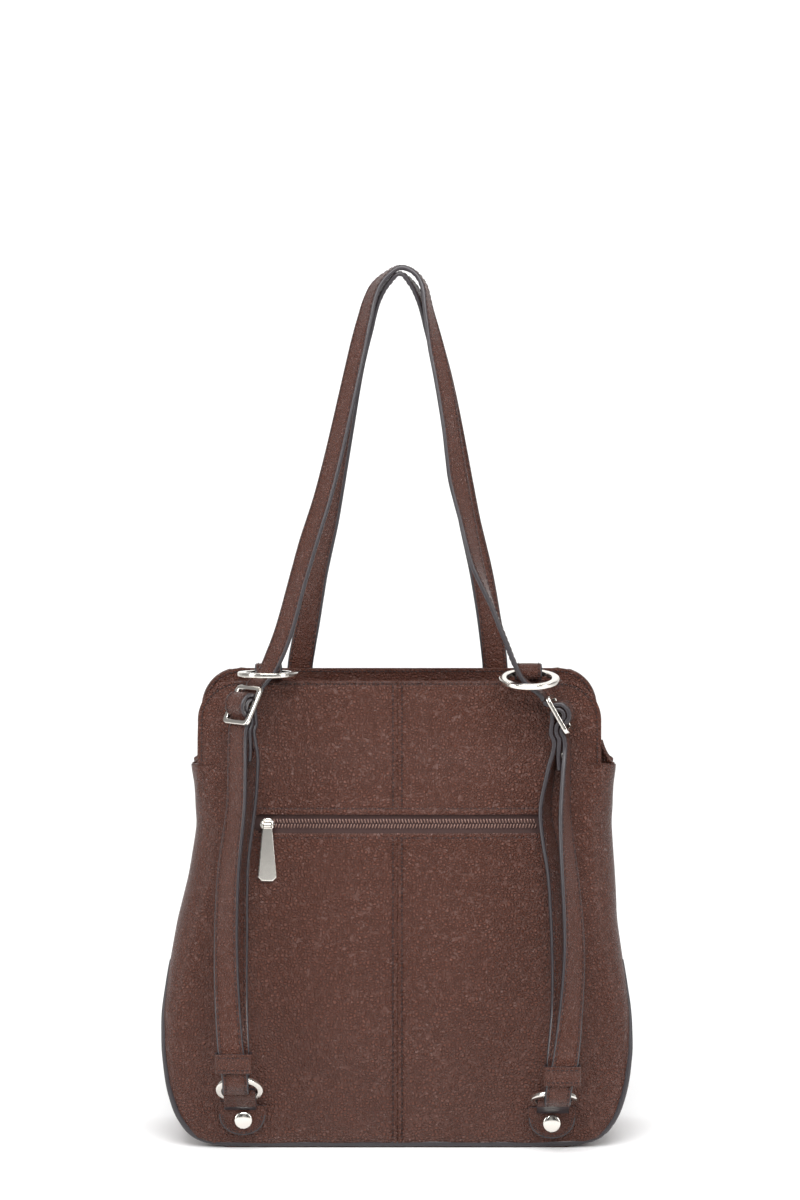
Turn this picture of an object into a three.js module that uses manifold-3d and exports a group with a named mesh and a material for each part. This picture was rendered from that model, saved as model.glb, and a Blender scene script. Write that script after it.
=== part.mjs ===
// A leather convertible backpack that stands on its base: millimetres, +Z up.
// The panel with the pocket zip faces -Y and +X is to the right of someone who looks at it.
import * as THREE from 'three';
import { mergeVertices } from 'three/addons/utils/BufferGeometryUtils.js';
import Module from 'manifold-3d';

const wasm = await Module();
wasm.setup();

// Body sizes
const baseWidth = 299;
const baseDepth = 112;
const rimHeight = 297;
const farRimRise = 4;
const rimWidth = 258;
const rimCorner = 26;
const rimLean = 1.2;
const shoulderHeight = 243;
const gussetRise = 13;
const planCorner = 24;
const panelCrown = 4;
const gussetFold = 9;
const wall = 2;
const facingWidth = 13;
const facingThickness = 1.2;
const gap = 0.3;
const bindingRadius = 2.3;
const bindingTop = 118;

// Zip sizes
const zipHeight = 206.5;
const zipOpening = 12.4;
const zipLength = 188;
const zipMiddle = 2;
const tapeThickness = 1;
const coilWidth = 5.6;
const coilThickness = 1.6;
const sliderX = -83;
const sliderLength = 9.5;
const sliderWidth = 8.4;
const sliderThickness = 2.6;
const bridgePin = 0.8;
const bridgeSpan = 5.2;
const pullLength = 36;
const pullTopWidth = 6.6;
const pullWidth = 12;
const pullThickness = 1.8;
const pullClearance = 0.25;

// Strap sizes
const strapWidth = 16.5;
const strapThickness = 2.8;
const handleThickness = 2.6;
const strapPeak = 560.3;

// Hardware sizes
const topRingRadius = 19.25;
const topRingBand = 5;
const topRingThickness = 3.2;
const lowerRingRadius = 15.2;
const lowerRingBand = 4.2;
const lowerRingThickness = 3;
const slideHeight = 27;
const slideWidth = 23.6;
const slideBar = 3.2;
const slideThickness = 3;
const slideLean = 30;
const tabWidth = 17;
const tabThickness = 1.6;
const holderWidth = 20.4;
const holderThickness = 1.8;
const keeperHeight = 12.4;
const keeperThickness = 1.4;
const patchWidth = 30;
const patchHeight = 20.5;
const patchThickness = 2.4;
const rivetRadius = 5.6;
const rivetHeight = 1.8;
const endRivetRadius = 2.6;
const endRivetHeight = 0.9;

// Body sections from the base up. height is a share of rimHeight, halfWidth and lean of half the base
// width, halfDepth of half the base depth, corner of planCorner, crown of panelCrown, fold of gussetFold,
// and seam says how far round the corner the side seam lies, 1 being wholly on the side.
const sections = [
  { height: 0.000, halfWidth: 0.745, lean: 0.000, halfDepth: 0.930, corner: 0.25, crown: 0.00, fold: 0.00, seam: 0.00 },
  { height: 0.008, halfWidth: 0.800, lean: 0.000, halfDepth: 0.965, corner: 0.29, crown: 0.00, fold: 0.00, seam: 0.22 },
  { height: 0.024, halfWidth: 0.885, lean: 0.000, halfDepth: 0.990, corner: 0.33, crown: 0.05, fold: 0.00, seam: 0.40 },
  { height: 0.071, halfWidth: 0.948, lean: 0.000, halfDepth: 1.000, corner: 0.38, crown: 0.30, fold: 0.00, seam: 0.50 },
  { height: 0.130, halfWidth: 0.982, lean: 0.000, halfDepth: 1.000, corner: 0.44, crown: 0.60, fold: 0.00, seam: 0.60 },
  { height: 0.205, halfWidth: 0.998, lean: 0.000, halfDepth: 0.992, corner: 0.52, crown: 0.90, fold: 0.00, seam: 0.75 },
  { height: 0.285, halfWidth: 0.998, lean: -0.003, halfDepth: 0.972, corner: 0.62, crown: 1.00, fold: 0.00, seam: 0.90 },
  { height: 0.380, halfWidth: 0.975, lean: -0.003, halfDepth: 0.925, corner: 0.78, crown: 1.00, fold: 0.05, seam: 1.00 },
  { height: 0.475, halfWidth: 0.946, lean: 0.000, halfDepth: 0.860, corner: 0.95, crown: 0.95, fold: 0.15, seam: 1.00 },
  { height: 0.570, halfWidth: 0.918, lean: 0.019, halfDepth: 0.785, corner: 1.00, crown: 0.80, fold: 0.30, seam: 1.00 },
  { height: 0.680, halfWidth: 0.894, lean: 0.030, halfDepth: 0.700, corner: 0.90, crown: 0.60, fold: 0.50, seam: 1.00 },
  { height: 0.770, halfWidth: 0.901, lean: 0.029, halfDepth: 0.622, corner: 0.78, crown: 0.45, fold: 0.75, seam: 1.00 },
  { height: 0.820, halfWidth: 0.914, lean: 0.027, halfDepth: 0.570, corner: 0.70, crown: 0.40, fold: 1.00, seam: 1.00 },
  { height: 0.870, halfWidth: 0.912, lean: 0.020, halfDepth: 0.515, corner: 0.64, crown: 0.30, fold: 1.10, seam: 1.00 },
  { height: 1.030, halfWidth: 0.906, lean: 0.009, halfDepth: 0.390, corner: 0.50, crown: 0.00, fold: 1.10, seam: 1.00 },
];

const degrees = Math.PI / 180;
const scaleSection = (row) => ({
  z: row.height * rimHeight,
  halfWidth: row.halfWidth * baseWidth / 2,
  lean: row.lean * baseWidth / 2,
  halfDepth: row.halfDepth * baseDepth / 2,
  corner: row.corner * planCorner,
  crown: row.crown * panelCrown,
  fold: row.fold * gussetFold,
  seam: row.seam,
});
const bodyRows = sections.map(scaleSection);

// The section at any height, read straight between the rows above.
function sectionAt(z) {
  const last = bodyRows.length - 2;
  const found = bodyRows.findIndex((row, i) => i <= last && z <= bodyRows[i + 1].z);
  const index = found < 0 ? last : found;
  const low = bodyRows[index];
  const high = bodyRows[index + 1];
  const share = (z - low.z) / (high.z - low.z);
  const mixed = {};
  for (const key of Object.keys(low)) mixed[key] = THREE.MathUtils.lerp(low[key], high[key], share);
  return mixed;
}

// How far the body's outer face stands from the middle plane at a place on the back or front panel.
function faceDepth(x, z) {
  const row = sectionAt(z);
  const flat = row.halfWidth - row.corner;
  const across = Math.abs(x - row.lean);
  if (across < flat) return row.halfDepth + row.crown * (1 - (across / flat) ** 2);
  const overrun = Math.min(across - flat, row.corner);
  return row.halfDepth - row.corner + Math.sqrt(row.corner ** 2 - overrun ** 2);
}
const backY = (x, z) => -faceDepth(x, z);

// A mesh made a closed body: doubles merged, faces turned to point out.
function closedBody(geometry) {
  const bare = new THREE.BufferGeometry();
  bare.setAttribute('position', geometry.getAttribute('position'));
  if (geometry.index) bare.setIndex(geometry.index);
  const merged = mergeVertices(bare, 1e-4);
  const at = merged.getAttribute('position').array;
  const index = Array.from(merged.index.array);
  const corner = (i) => new THREE.Vector3(at[3 * i], at[3 * i + 1], at[3 * i + 2]);
  const kept = [];
  let volume = 0;
  for (let i = 0; i < index.length; i += 3) {
    const [a, b, c] = index.slice(i, i + 3);
    if (a === b || b === c || c === a) continue;
    volume += corner(a).dot(corner(b).cross(corner(c)));
    kept.push(a, b, c);
  }
  if (volume < 0) kept.reverse();
  merged.setIndex(kept);
  return merged;
}

function asManifold(geometry) {
  const body = closedBody(geometry);
  const vertProperties = new Float32Array(body.getAttribute('position').array);
  const triVerts = new Uint32Array(body.index.array);
  return new wasm.Manifold(new wasm.Mesh({ numProp: 3, vertProperties, triVerts }));
}

function asGeometry(manifold) {
  const mesh = manifold.getMesh();
  const geometry = new THREE.BufferGeometry();
  geometry.setAttribute('position', new THREE.BufferAttribute(new Float32Array(mesh.vertProperties), 3));
  geometry.setIndex(new THREE.BufferAttribute(new Uint32Array(mesh.triVerts), 1));
  return geometry;
}

// Loops of equally many points joined into one body, with a fan over each end, or joined end to end.
function loft(loops, closed = false) {
  const count = loops[0].length;
  const positions = loops.flat().flatMap((p) => [p.x, p.y, p.z]);
  const indices = [];
  const bands = closed ? loops.length : loops.length - 1;
  for (let row = 0; row < bands; row += 1) {
    const next = (row + 1) % loops.length;
    for (let i = 0; i < count; i += 1) {
      const j = (i + 1) % count;
      indices.push(row * count + i, row * count + j, next * count + j);
      indices.push(row * count + i, next * count + j, next * count + i);
    }
  }
  const cap = (row, turned) => {
    const middle = new THREE.Vector3();
    for (const p of loops[row]) middle.addScaledVector(p, 1 / count);
    const hub = positions.length / 3;
    positions.push(middle.x, middle.y, middle.z);
    for (let i = 0; i < count; i += 1) {
      const j = (i + 1) % count;
      const edge = turned ? [row * count + j, row * count + i] : [row * count + i, row * count + j];
      indices.push(hub, ...edge);
    }
  };
  if (!closed) {
    cap(0, true);
    cap(loops.length - 1, false);
  }
  const geometry = new THREE.BufferGeometry();
  geometry.setAttribute('position', new THREE.Float32BufferAttribute(positions, 3));
  geometry.setIndex(indices);
  return geometry;
}

// A flat outline given thickness. The outline's two directions and the thickness run along axes u, v, w.
function plate(shape, thickness, u, v, w, bevel = 0, curveSegments = 1) {
  const geometry = new THREE.ExtrudeGeometry(shape, {
    depth: thickness - 2 * bevel,
    bevelEnabled: bevel > 0,
    bevelThickness: bevel,
    bevelSize: bevel,
    bevelOffset: -bevel,
    bevelSegments: 1,
    curveSegments,
  });
  geometry.translate(0, 0, bevel);
  geometry.applyMatrix4(new THREE.Matrix4().makeBasis(u, v, w));
  return geometry;
}
const axisX = new THREE.Vector3(1, 0, 0);
const axisY = new THREE.Vector3(0, 1, 0);
const axisZ = new THREE.Vector3(0, 0, 1);
const outward = new THREE.Vector3(0, -1, 0);

function box(low, high) {
  const size = high.map((value, i) => value - low[i]);
  const geometry = new THREE.BoxGeometry(...size);
  geometry.translate(...low.map((value, i) => value + size[i] / 2));
  return geometry;
}

// One horizontal loop of the body at a given depth under the outer face: a rounded rectangle with bowed
// back and front and sides that fold inwards.
const faceSteps = 8;
const cornerSteps = 3;
const sideSteps = 4;
function bodyLoop(z, depth) {
  const row = sectionAt(z);
  const corner = Math.max(row.corner - depth, 1);
  const flatX = row.halfWidth - depth - corner;
  const flatY = row.halfDepth - depth - corner;
  const loop = [];
  const add = (x, y) => loop.push(new THREE.Vector3(x + row.lean, y, z));
  const bow = (x) => row.crown * (1 - (x / flatX) ** 2);
  const dip = (y) => row.fold * (1 - (y / flatY) ** 2);
  for (let side = 0; side < 2; side += 1) {
    const way = side === 0 ? 1 : -1;
    for (let i = 0; i < faceSteps; i += 1) {
      const x = flatX * (2 * i / faceSteps - 1);
      add(way * x, -way * (flatY + corner + bow(x)));
    }
    for (let i = 0; i < cornerSteps; i += 1) {
      const angle = (i / cornerSteps) * Math.PI / 2;
      add(way * (flatX + corner * Math.sin(angle)), -way * (flatY + corner * Math.cos(angle)));
    }
    for (let i = 0; i < sideSteps; i += 1) {
      const y = flatY * (2 * i / sideSteps - 1);
      add(way * (flatX + corner - dip(y)), way * y);
    }
    for (let i = 0; i < cornerSteps; i += 1) {
      const angle = (i / cornerSteps) * Math.PI / 2;
      add(way * (flatX + corner * Math.cos(angle)), way * (flatY + corner * Math.sin(angle)));
    }
  }
  return loop;
}

// The filled body shape at a depth under the outer face, and the layer between two depths.
function bodyFill(depth) {
  const heights = bodyRows.map((row) => row.z).filter((z) => z > depth + wall);
  const lowest = depth > 0 ? [depth] : bodyRows.slice(0, 2).map((row) => row.z);
  return asManifold(loft([...lowest, ...heights].map((z) => bodyLoop(z, depth))));
}
const bodyLayer = (outer, inner) => bodyFill(outer).subtract(bodyFill(inner));

const beyond = 400;
const seamDepth = (row) => row.halfDepth - row.seam * row.corner;

// A block that keeps what lies behind, between or before the two side seams.
function seamBlock(which) {
  const edge = bodyRows.map((row) => new THREE.Vector2(seamDepth(row) + (which === 'middle' ? -gap : gap) / 2, row.z));
  edge.unshift(new THREE.Vector2(edge[0].x, -beyond));
  edge.push(new THREE.Vector2(edge[edge.length - 1].x, beyond));
  const mirrored = edge.map((p) => new THREE.Vector2(-p.x, p.y));
  const outlines = {
    middle: [...edge, ...mirrored.slice().reverse()],
    front: [...edge, new THREE.Vector2(beyond, beyond), new THREE.Vector2(beyond, -beyond)],
    back: [...mirrored, new THREE.Vector2(-beyond, beyond), new THREE.Vector2(-beyond, -beyond)],
  };
  const block = plate(new THREE.Shape(outlines[which]), 2 * beyond, axisY, axisZ, axisX);
  block.translate(-beyond, 0, 0);
  return asManifold(block);
}

// The panel's outline from the front: everything below the shoulder, then the narrower rim with its
// rounded corners. An inset draws the same rim smaller, for the facing.
function rimOutline(top, inset = 0) {
  const half = rimWidth / 2 - inset;
  const radius = rimCorner - inset;
  const shape = new THREE.Shape();
  shape.moveTo(-beyond, -beyond);
  shape.lineTo(beyond, -beyond);
  shape.lineTo(beyond, shoulderHeight);
  shape.lineTo(rimLean + half, shoulderHeight);
  shape.absarc(rimLean + half - radius, top - inset - radius, radius, 0, Math.PI / 2);
  shape.absarc(rimLean - half + radius, top - inset - radius, radius, Math.PI / 2, Math.PI);
  shape.lineTo(rimLean - half, shoulderHeight);
  shape.lineTo(-beyond, shoulderHeight);
  return shape;
}
function outlineBlock(shape) {
  const block = plate(shape, 2 * beyond, axisX, axisZ, outward, 0, 3);
  block.translate(0, beyond, 0);
  return asManifold(block);
}

// Binding: a dark rib along the seam between a panel and the gusset, from one side down round the base.
function bindingPath(way) {
  const sidePoint = (row, side) => {
    const radius = row.corner - wall / 2;
    const rise = 1 - row.seam;
    const x = row.lean + side * (row.halfWidth - row.corner + radius * Math.sqrt(1 - rise ** 2));
    return new THREE.Vector3(x, way * (row.halfDepth - row.corner + radius * rise), row.z);
  };
  const rows = bodyRows.filter((row) => row.z > 2 * bindingRadius && row.z < bindingTop);
  const upper = [...rows, sectionAt(bindingTop)].reverse();
  const low = sectionAt(bindingRadius);
  const along = way * (low.halfDepth - bindingRadius / 2);
  const foot = bodyRows[0].halfWidth;
  const bend = (side) => new THREE.Vector3(side * (bodyRows[1].halfWidth - wall / 2), along, 1.35 * bindingRadius);
  const base = [-1, -0.5, 0, 0.5, 1].map((share) => new THREE.Vector3(share * foot, along, bindingRadius + 0.1));
  const left = upper.map((row) => sidePoint(row, -1));
  const right = upper.map((row) => sidePoint(row, 1)).reverse();
  return new THREE.CatmullRomCurve3([...left, bend(-1), ...base, bend(1), ...right], false, 'centripetal');
}
function tube(curve, radius, sides, steps) {
  const frames = curve.computeFrenetFrames(steps, false);
  const loops = [];
  for (let i = 0; i <= steps; i += 1) {
    const at = curve.getPointAt(i / steps);
    const ring = [];
    for (let k = 0; k < sides; k += 1) {
      const angle = 2 * Math.PI * k / sides;
      ring.push(at.clone()
        .addScaledVector(frames.normals[i], radius * Math.cos(angle))
        .addScaledVector(frames.binormals[i], radius * Math.sin(angle)));
    }
    loops.push(ring);
  }
  return loft(loops);
}
const bindingSides = 6;
const bindingSteps = 36;
const bindings = { back: bindingPath(-1), front: bindingPath(1) };
const grooveRadius = (bindingRadius + gap) / Math.cos(Math.PI / bindingSides);
const bindingGroove = (name) => asManifold(tube(bindings[name], grooveRadius, bindingSides, bindingSteps));

// Zip window in the back panel, a long slot with round ends
function slotShape(length, height) {
  const radius = height / 2;
  const shape = new THREE.Shape();
  shape.absarc(length / 2 - radius, 0, radius, -Math.PI / 2, Math.PI / 2);
  shape.absarc(-length / 2 + radius, 0, radius, Math.PI / 2, 1.5 * Math.PI);
  return shape;
}
function zipWindow() {
  const block = plate(slotShape(zipLength, zipOpening), beyond, axisX, axisZ, outward, 0, 3);
  block.translate(zipMiddle, 0, zipHeight);
  return asManifold(block);
}

const shell = bodyLayer(0, wall);
const grooves = bindingGroove('back').add(bindingGroove('front'));
const backPanel = shell.intersect(seamBlock('back')).intersect(outlineBlock(rimOutline(rimHeight)))
  .subtract(grooves).subtract(zipWindow());
const frontPanel = shell.intersect(seamBlock('front'))
  .intersect(outlineBlock(rimOutline(rimHeight + farRimRise))).subtract(grooves);

// Gusset and base in one strip. Its top edges rise to a soft peak between the panels.
function gussetTopBlock() {
  const edge = seamDepth(sectionAt(shoulderHeight));
  const shape = new THREE.Shape();
  shape.moveTo(-beyond, -beyond);
  shape.lineTo(beyond, -beyond);
  shape.lineTo(beyond, shoulderHeight);
  shape.lineTo(edge, shoulderHeight);
  shape.quadraticCurveTo(edge / 2, shoulderHeight + gussetRise, 0, shoulderHeight + gussetRise);
  shape.quadraticCurveTo(-edge / 2, shoulderHeight + gussetRise, -edge, shoulderHeight);
  shape.lineTo(-beyond, shoulderHeight);
  const block = plate(shape, 2 * beyond, axisY, axisZ, axisX, 0, 3);
  block.translate(-beyond, 0, 0);
  return asManifold(block);
}
const gussetBase = shell.intersect(seamBlock('middle')).intersect(gussetTopBlock()).subtract(grooves);

// Facings: a strip sewn inside each rim
function facing(which, top) {
  const layer = bodyLayer(wall + gap, wall + gap + facingThickness);
  const ring = outlineBlock(rimOutline(top, gap)).subtract(outlineBlock(rimOutline(top, facingWidth)));
  const above = box([-beyond, -beyond, shoulderHeight + gap], [beyond, beyond, beyond]);
  return layer.intersect(seamBlock(which)).intersect(ring).intersect(asManifold(above));
}

// Zip tape and coil behind the window
function zipTape() {
  const depth = wall + gap;
  const reach = zipLength / 2 + zipOpening / 2;
  const block = box([zipMiddle - reach, -beyond, zipHeight - zipOpening], [zipMiddle + reach, 0, zipHeight + zipOpening]);
  return bodyLayer(depth, depth + tapeThickness).intersect(asManifold(block));
}
const coilSteps = 10;
function zipCoil() {
  const half = zipLength / 2 - zipOpening / 2;
  const loops = [];
  const profile = [[-0.5, 0], [-0.36, 0.75], [-0.1, 1], [0.1, 1], [0.36, 0.75], [0.5, 0]];
  for (let i = 0; i <= coilSteps; i += 1) {
    const x = zipMiddle + half * (2 * i / coilSteps - 1);
    loops.push(profile.map(([across, rise]) => {
      const z = zipHeight + across * coilWidth;
      return new THREE.Vector3(x, backY(x, z) + wall - rise * coilThickness, z);
    }));
  }
  return loft(loops);
}

// Zip slider: a body over the coil, two posts and the pin that the pull's eye turns on
const eyeRadius = bridgePin + pullClearance + 1.1;
const sliderBack = backY(sliderX, zipHeight - sliderWidth / 2) + wall - coilThickness - gap;
const sliderFront = sliderBack - sliderThickness;
const pivotY = sliderFront - eyeRadius - pullClearance;
function pinAlongX(radius, length) {
  const geometry = new THREE.CylinderGeometry(radius, radius, length, 12);
  geometry.rotateZ(Math.PI / 2);
  geometry.translate(sliderX, pivotY, zipHeight);
  return geometry;
}
function zipSlider() {
  const outline = slotShape(sliderLength, sliderWidth);
  const body = plate(outline, sliderThickness, axisX, axisZ, outward, 0.5, 3);
  body.translate(sliderX, sliderBack, zipHeight);
  let whole = asManifold(body);
  for (const side of [-1, 1]) {
    const inner = sliderX + side * bridgeSpan / 2;
    const ends = [inner, inner + side * 1.2].sort((a, b) => a - b);
    const post = box([ends[0], pivotY - 1.2, zipHeight - 1.3], [ends[1], sliderFront + 1, zipHeight + 1.3]);
    whole = whole.add(asManifold(post));
  }
  return whole.add(asManifold(pinAlongX(bridgePin, bridgeSpan + 0.8)));
}

// Zip pull: a tapered tag with a raised middle, hung from the pin by a rolled eye. At rest it leans on
// the panel, so it is drawn hanging straight down and then turned to the panel's slope.
const pullFoot = zipHeight - pullLength;
const panelSlope = Math.atan2(pivotY + pullThickness / 2 + gap - backY(sliderX, pullFoot), pullLength);
const pullLean = Math.max(panelSlope, 0);
function zipPull() {
  const reach = pullLength;
  const outline = new THREE.Shape();
  const chamfer = pullWidth / 5;
  outline.moveTo(-pullWidth / 2 + chamfer, -reach);
  outline.lineTo(pullWidth / 2 - chamfer, -reach);
  outline.lineTo(pullWidth / 2, -reach + chamfer);
  outline.lineTo(pullTopWidth / 2, -eyeRadius - 1);
  outline.lineTo(bridgeSpan / 2 - pullClearance, -eyeRadius / 2);
  outline.lineTo(bridgeSpan / 2 - pullClearance, 0);
  outline.lineTo(-bridgeSpan / 2 + pullClearance, 0);
  outline.lineTo(-bridgeSpan / 2 + pullClearance, -eyeRadius / 2);
  outline.lineTo(-pullTopWidth / 2, -eyeRadius - 1);
  outline.lineTo(-pullWidth / 2, -reach + chamfer);
  const tag = plate(outline, pullThickness, axisX, axisZ, outward, 0.35);
  tag.translate(0, pullThickness / 2, 0);
  const eyeWidth = bridgeSpan - 2 * pullClearance;
  const eye = new THREE.CylinderGeometry(eyeRadius, eyeRadius, eyeWidth, 14);
  const bore = new THREE.CylinderGeometry(bridgePin + pullClearance, bridgePin + pullClearance, beyond, 12);
  eye.rotateZ(Math.PI / 2);
  bore.rotateZ(Math.PI / 2);
  const pull = asGeometry(asManifold(tag).add(asManifold(eye)).subtract(asManifold(bore)));
  pull.rotateX(-pullLean);
  pull.translate(sliderX, pivotY, zipHeight);
  return pull;
}

// A strap carried along a route. Each stop gives a place and the angle of the strap's width direction in
// plan: 0 lies along +X, 90 along -Y, 180 along -X. The route is smooth through the stops, with the same
// number of steps from each stop to the next, so that tight turns get more of them.
function ribbon(stops, width, thickness, stepsEach) {
  const curve = new THREE.CatmullRomCurve3(stops.map((stop) => stop.at), false, 'centripetal');
  const turns = new THREE.CatmullRomCurve3(stops.map((stop) => new THREE.Vector3(stop.turn, 0, 0)), false, 'catmullrom', 0);
  const steps = stepsEach * (stops.length - 1);
  const loops = [];
  for (let i = 0; i <= steps; i += 1) {
    const share = i / steps;
    const at = curve.getPoint(share);
    const angle = turns.getPoint(share).x * degrees;
    const along = curve.getTangent(share);
    const across = new THREE.Vector3(Math.cos(angle), -Math.sin(angle), 0);
    across.addScaledVector(along, -across.dot(along)).normalize();
    const normal = new THREE.Vector3().crossVectors(along, across);
    const corners = [[-1, -1], [1, -1], [1, 1], [-1, 1]];
    loops.push(corners.map(([a, b]) => at.clone()
      .addScaledVector(across, a * width / 2)
      .addScaledVector(normal, b * thickness / 2)));
  }
  return loft(loops);
}
const stop = (x, y, z, turn) => ({ at: new THREE.Vector3(x, y, z), turn });

// Places of the hardware on each side. side is -1 on the left, slideTurn is how far the slide faces
// sideways, and the tilts say how far each ring rises towards the viewer.
const sides = {
  left: {
    side: -1, topRing: { x: -82.6, out: 16, z: rimHeight + 5.4, tilt: 2 },
    slide: { x: -98.0, out: 24, z: rimHeight - 13.5, turn: 46 },
    keeper: { x: -103.2, z: 61, sway: 1.6 }, lowerRing: { x: -100, z: 41.6, tilt: 40 }, patch: { x: -98.2, turn: 6 },
  },
  right: {
    side: 1, topRing: { x: 83.8, out: 16, z: rimHeight + 2, tilt: -11 },
    slide: { x: 103, out: 15.5, z: rimHeight - 20, turn: 80 },
    keeper: { x: 103.6, z: 54, sway: 1.6 }, lowerRing: { x: 98.8, z: 36, tilt: 26 }, patch: { x: 98.2, turn: -1 },
  },
};

// A ring's own directions: forward is across the ring towards the viewer, up is its axis.
function ringFrame(x, y, z, tilt) {
  const forward = new THREE.Vector3(0, -Math.cos(tilt * degrees), Math.sin(tilt * degrees));
  const up = new THREE.Vector3(0, Math.sin(tilt * degrees), Math.cos(tilt * degrees));
  const centre = new THREE.Vector3(x, y, z);
  const at = (r, h) => centre.clone().addScaledVector(forward, r).addScaledVector(up, h);
  return { centre, tilt, at };
}
function ringBody(frame, radius, band, thickness, segments) {
  const inner = radius - band;
  const half = thickness / 2;
  const edge = Math.min(0.9, half * 0.6);
  const profile = [
    [inner + edge, -half], [radius - edge, -half], [radius, 0],
    [radius - edge, half], [inner + edge, half], [inner, 0], [inner + edge, -half],
  ];
  const geometry = new THREE.LatheGeometry(profile.map(([r, h]) => new THREE.Vector2(r, h)), segments);
  geometry.rotateX(Math.PI / 2);
  geometry.rotateX(-frame.tilt * degrees);
  geometry.translate(frame.centre.x, frame.centre.y, frame.centre.z);
  return geometry;
}
// Where a straight leather edge of some width meets the inside of a ring.
const chordDepth = (radius, band, width) => Math.sqrt((radius - band) ** 2 - (width / 2) ** 2);

// Lower ring: its rear band lies in the patch's loop, just in front of the panel.
function lowerFrame(place) {
  const { x, z, tilt } = place.lowerRing;
  const rear = lowerRingRadius - lowerRingBand / 2;
  const bandZ = z - rear * Math.sin(tilt * degrees);
  const bandY = backY(x, bandZ) - patchThickness - holderThickness - lowerRingThickness;
  return ringFrame(x, bandY - rear * Math.cos(tilt * degrees), z, tilt);
}
function topFrame(place) {
  const { x, out, z, tilt } = place.topRing;
  return ringFrame(x, backY(x, rimHeight) - out, z, tilt);
}

// Slide: a flat frame with a middle bar, leaning back at its top and turned sideways.
function slideFrame(place) {
  const { x, out, z, turn } = place.slide;
  const angle = turn * degrees;
  const facingOut = new THREE.Vector3(place.side * Math.sin(angle), -Math.cos(angle), 0);
  const across = new THREE.Vector3(Math.cos(angle), place.side * Math.sin(angle), 0);
  const lean = slideLean * degrees;
  const up = axisZ.clone().multiplyScalar(Math.cos(lean)).addScaledVector(facingOut, -Math.sin(lean));
  const normal = facingOut.clone().multiplyScalar(Math.cos(lean)).addScaledVector(axisZ, Math.sin(lean));
  const centre = new THREE.Vector3(x, backY(x, z) - out, z);
  const at = (n, u) => centre.clone().addScaledVector(normal, n).addScaledVector(up, u);
  return { centre, facingOut, across, up, normal, at, widthTurn: place.side < 0 ? turn : 180 - turn };
}
function roundedRectangle(target, width, height, middle, radius) {
  const w = width / 2 - radius;
  const h = height / 2 - radius;
  target.absarc(w, middle + h, radius, 0, Math.PI / 2);
  target.absarc(-w, middle + h, radius, Math.PI / 2, Math.PI);
  target.absarc(-w, middle - h, radius, Math.PI, 1.5 * Math.PI);
  target.absarc(w, middle - h, radius, 1.5 * Math.PI, 2 * Math.PI);
  return target;
}
const slideWindow = (slideHeight - 3 * slideBar) / 2;
function slideBody(frame) {
  const shape = roundedRectangle(new THREE.Shape(), slideWidth, slideHeight, 0, slideBar);
  for (const way of [-1, 1]) {
    const middle = way * (slideBar + slideWindow) / 2;
    shape.holes.push(roundedRectangle(new THREE.Path(), slideWidth - 2 * slideBar, slideWindow, middle, 0.8));
  }
  const body = plate(shape, slideThickness, axisX, axisY, axisZ, 0.5);
  body.translate(0, 0, -slideThickness / 2);
  const side = new THREE.Vector3().crossVectors(frame.up, frame.normal);
  const place = new THREE.Matrix4().makeBasis(side, frame.up, frame.normal);
  body.applyMatrix4(place.setPosition(frame.centre));
  return body;
}

// Strap between keeper and slide. rise is the share of the way up, drift and depth are shares of the
// strap's width from the straight line between them, and turn is in degrees.
const runTables = {
  left: {
    front: [
      { rise: 0.18, drift: -0.18, depth: 0.05, turn: 12 },
      { rise: 0.38, drift: -0.28, depth: -0.10, turn: 24 },
      { rise: 0.60, drift: -0.22, depth: -0.15, turn: 33 },
      { rise: 0.78, drift: 0.00, depth: -0.10, turn: 44 },
    ],
    back: [
      { rise: 0.18, drift: -0.13, depth: 0.35, turn: 8 },
      { rise: 0.38, drift: -0.18, depth: 0.38, turn: 16 },
      { rise: 0.60, drift: -0.17, depth: 0.30, turn: 30 },
      { rise: 0.78, drift: 0.10, depth: 0.34, turn: 42 },
      { rise: 0.93, drift: 0.15, depth: 0.12, turn: 45 },
    ],
  },
  right: {
    front: [
      { rise: 0.18, drift: 0.20, depth: 0.05, turn: 157 },
      { rise: 0.38, drift: 0.32, depth: -0.10, turn: 144 },
      { rise: 0.60, drift: 0.14, depth: -0.15, turn: 130 },
      { rise: 0.78, drift: -0.05, depth: -0.10, turn: 113 },
    ],
    back: [
      { rise: 0.18, drift: 0.17, depth: 0.35, turn: 160 },
      { rise: 0.38, drift: 0.16, depth: 0.34, turn: 148 },
      { rise: 0.60, drift: -0.05, depth: 0.30, turn: 132 },
      { rise: 0.78, drift: -0.42, depth: 0.28, turn: 115 },
    ],
  },
};

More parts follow.
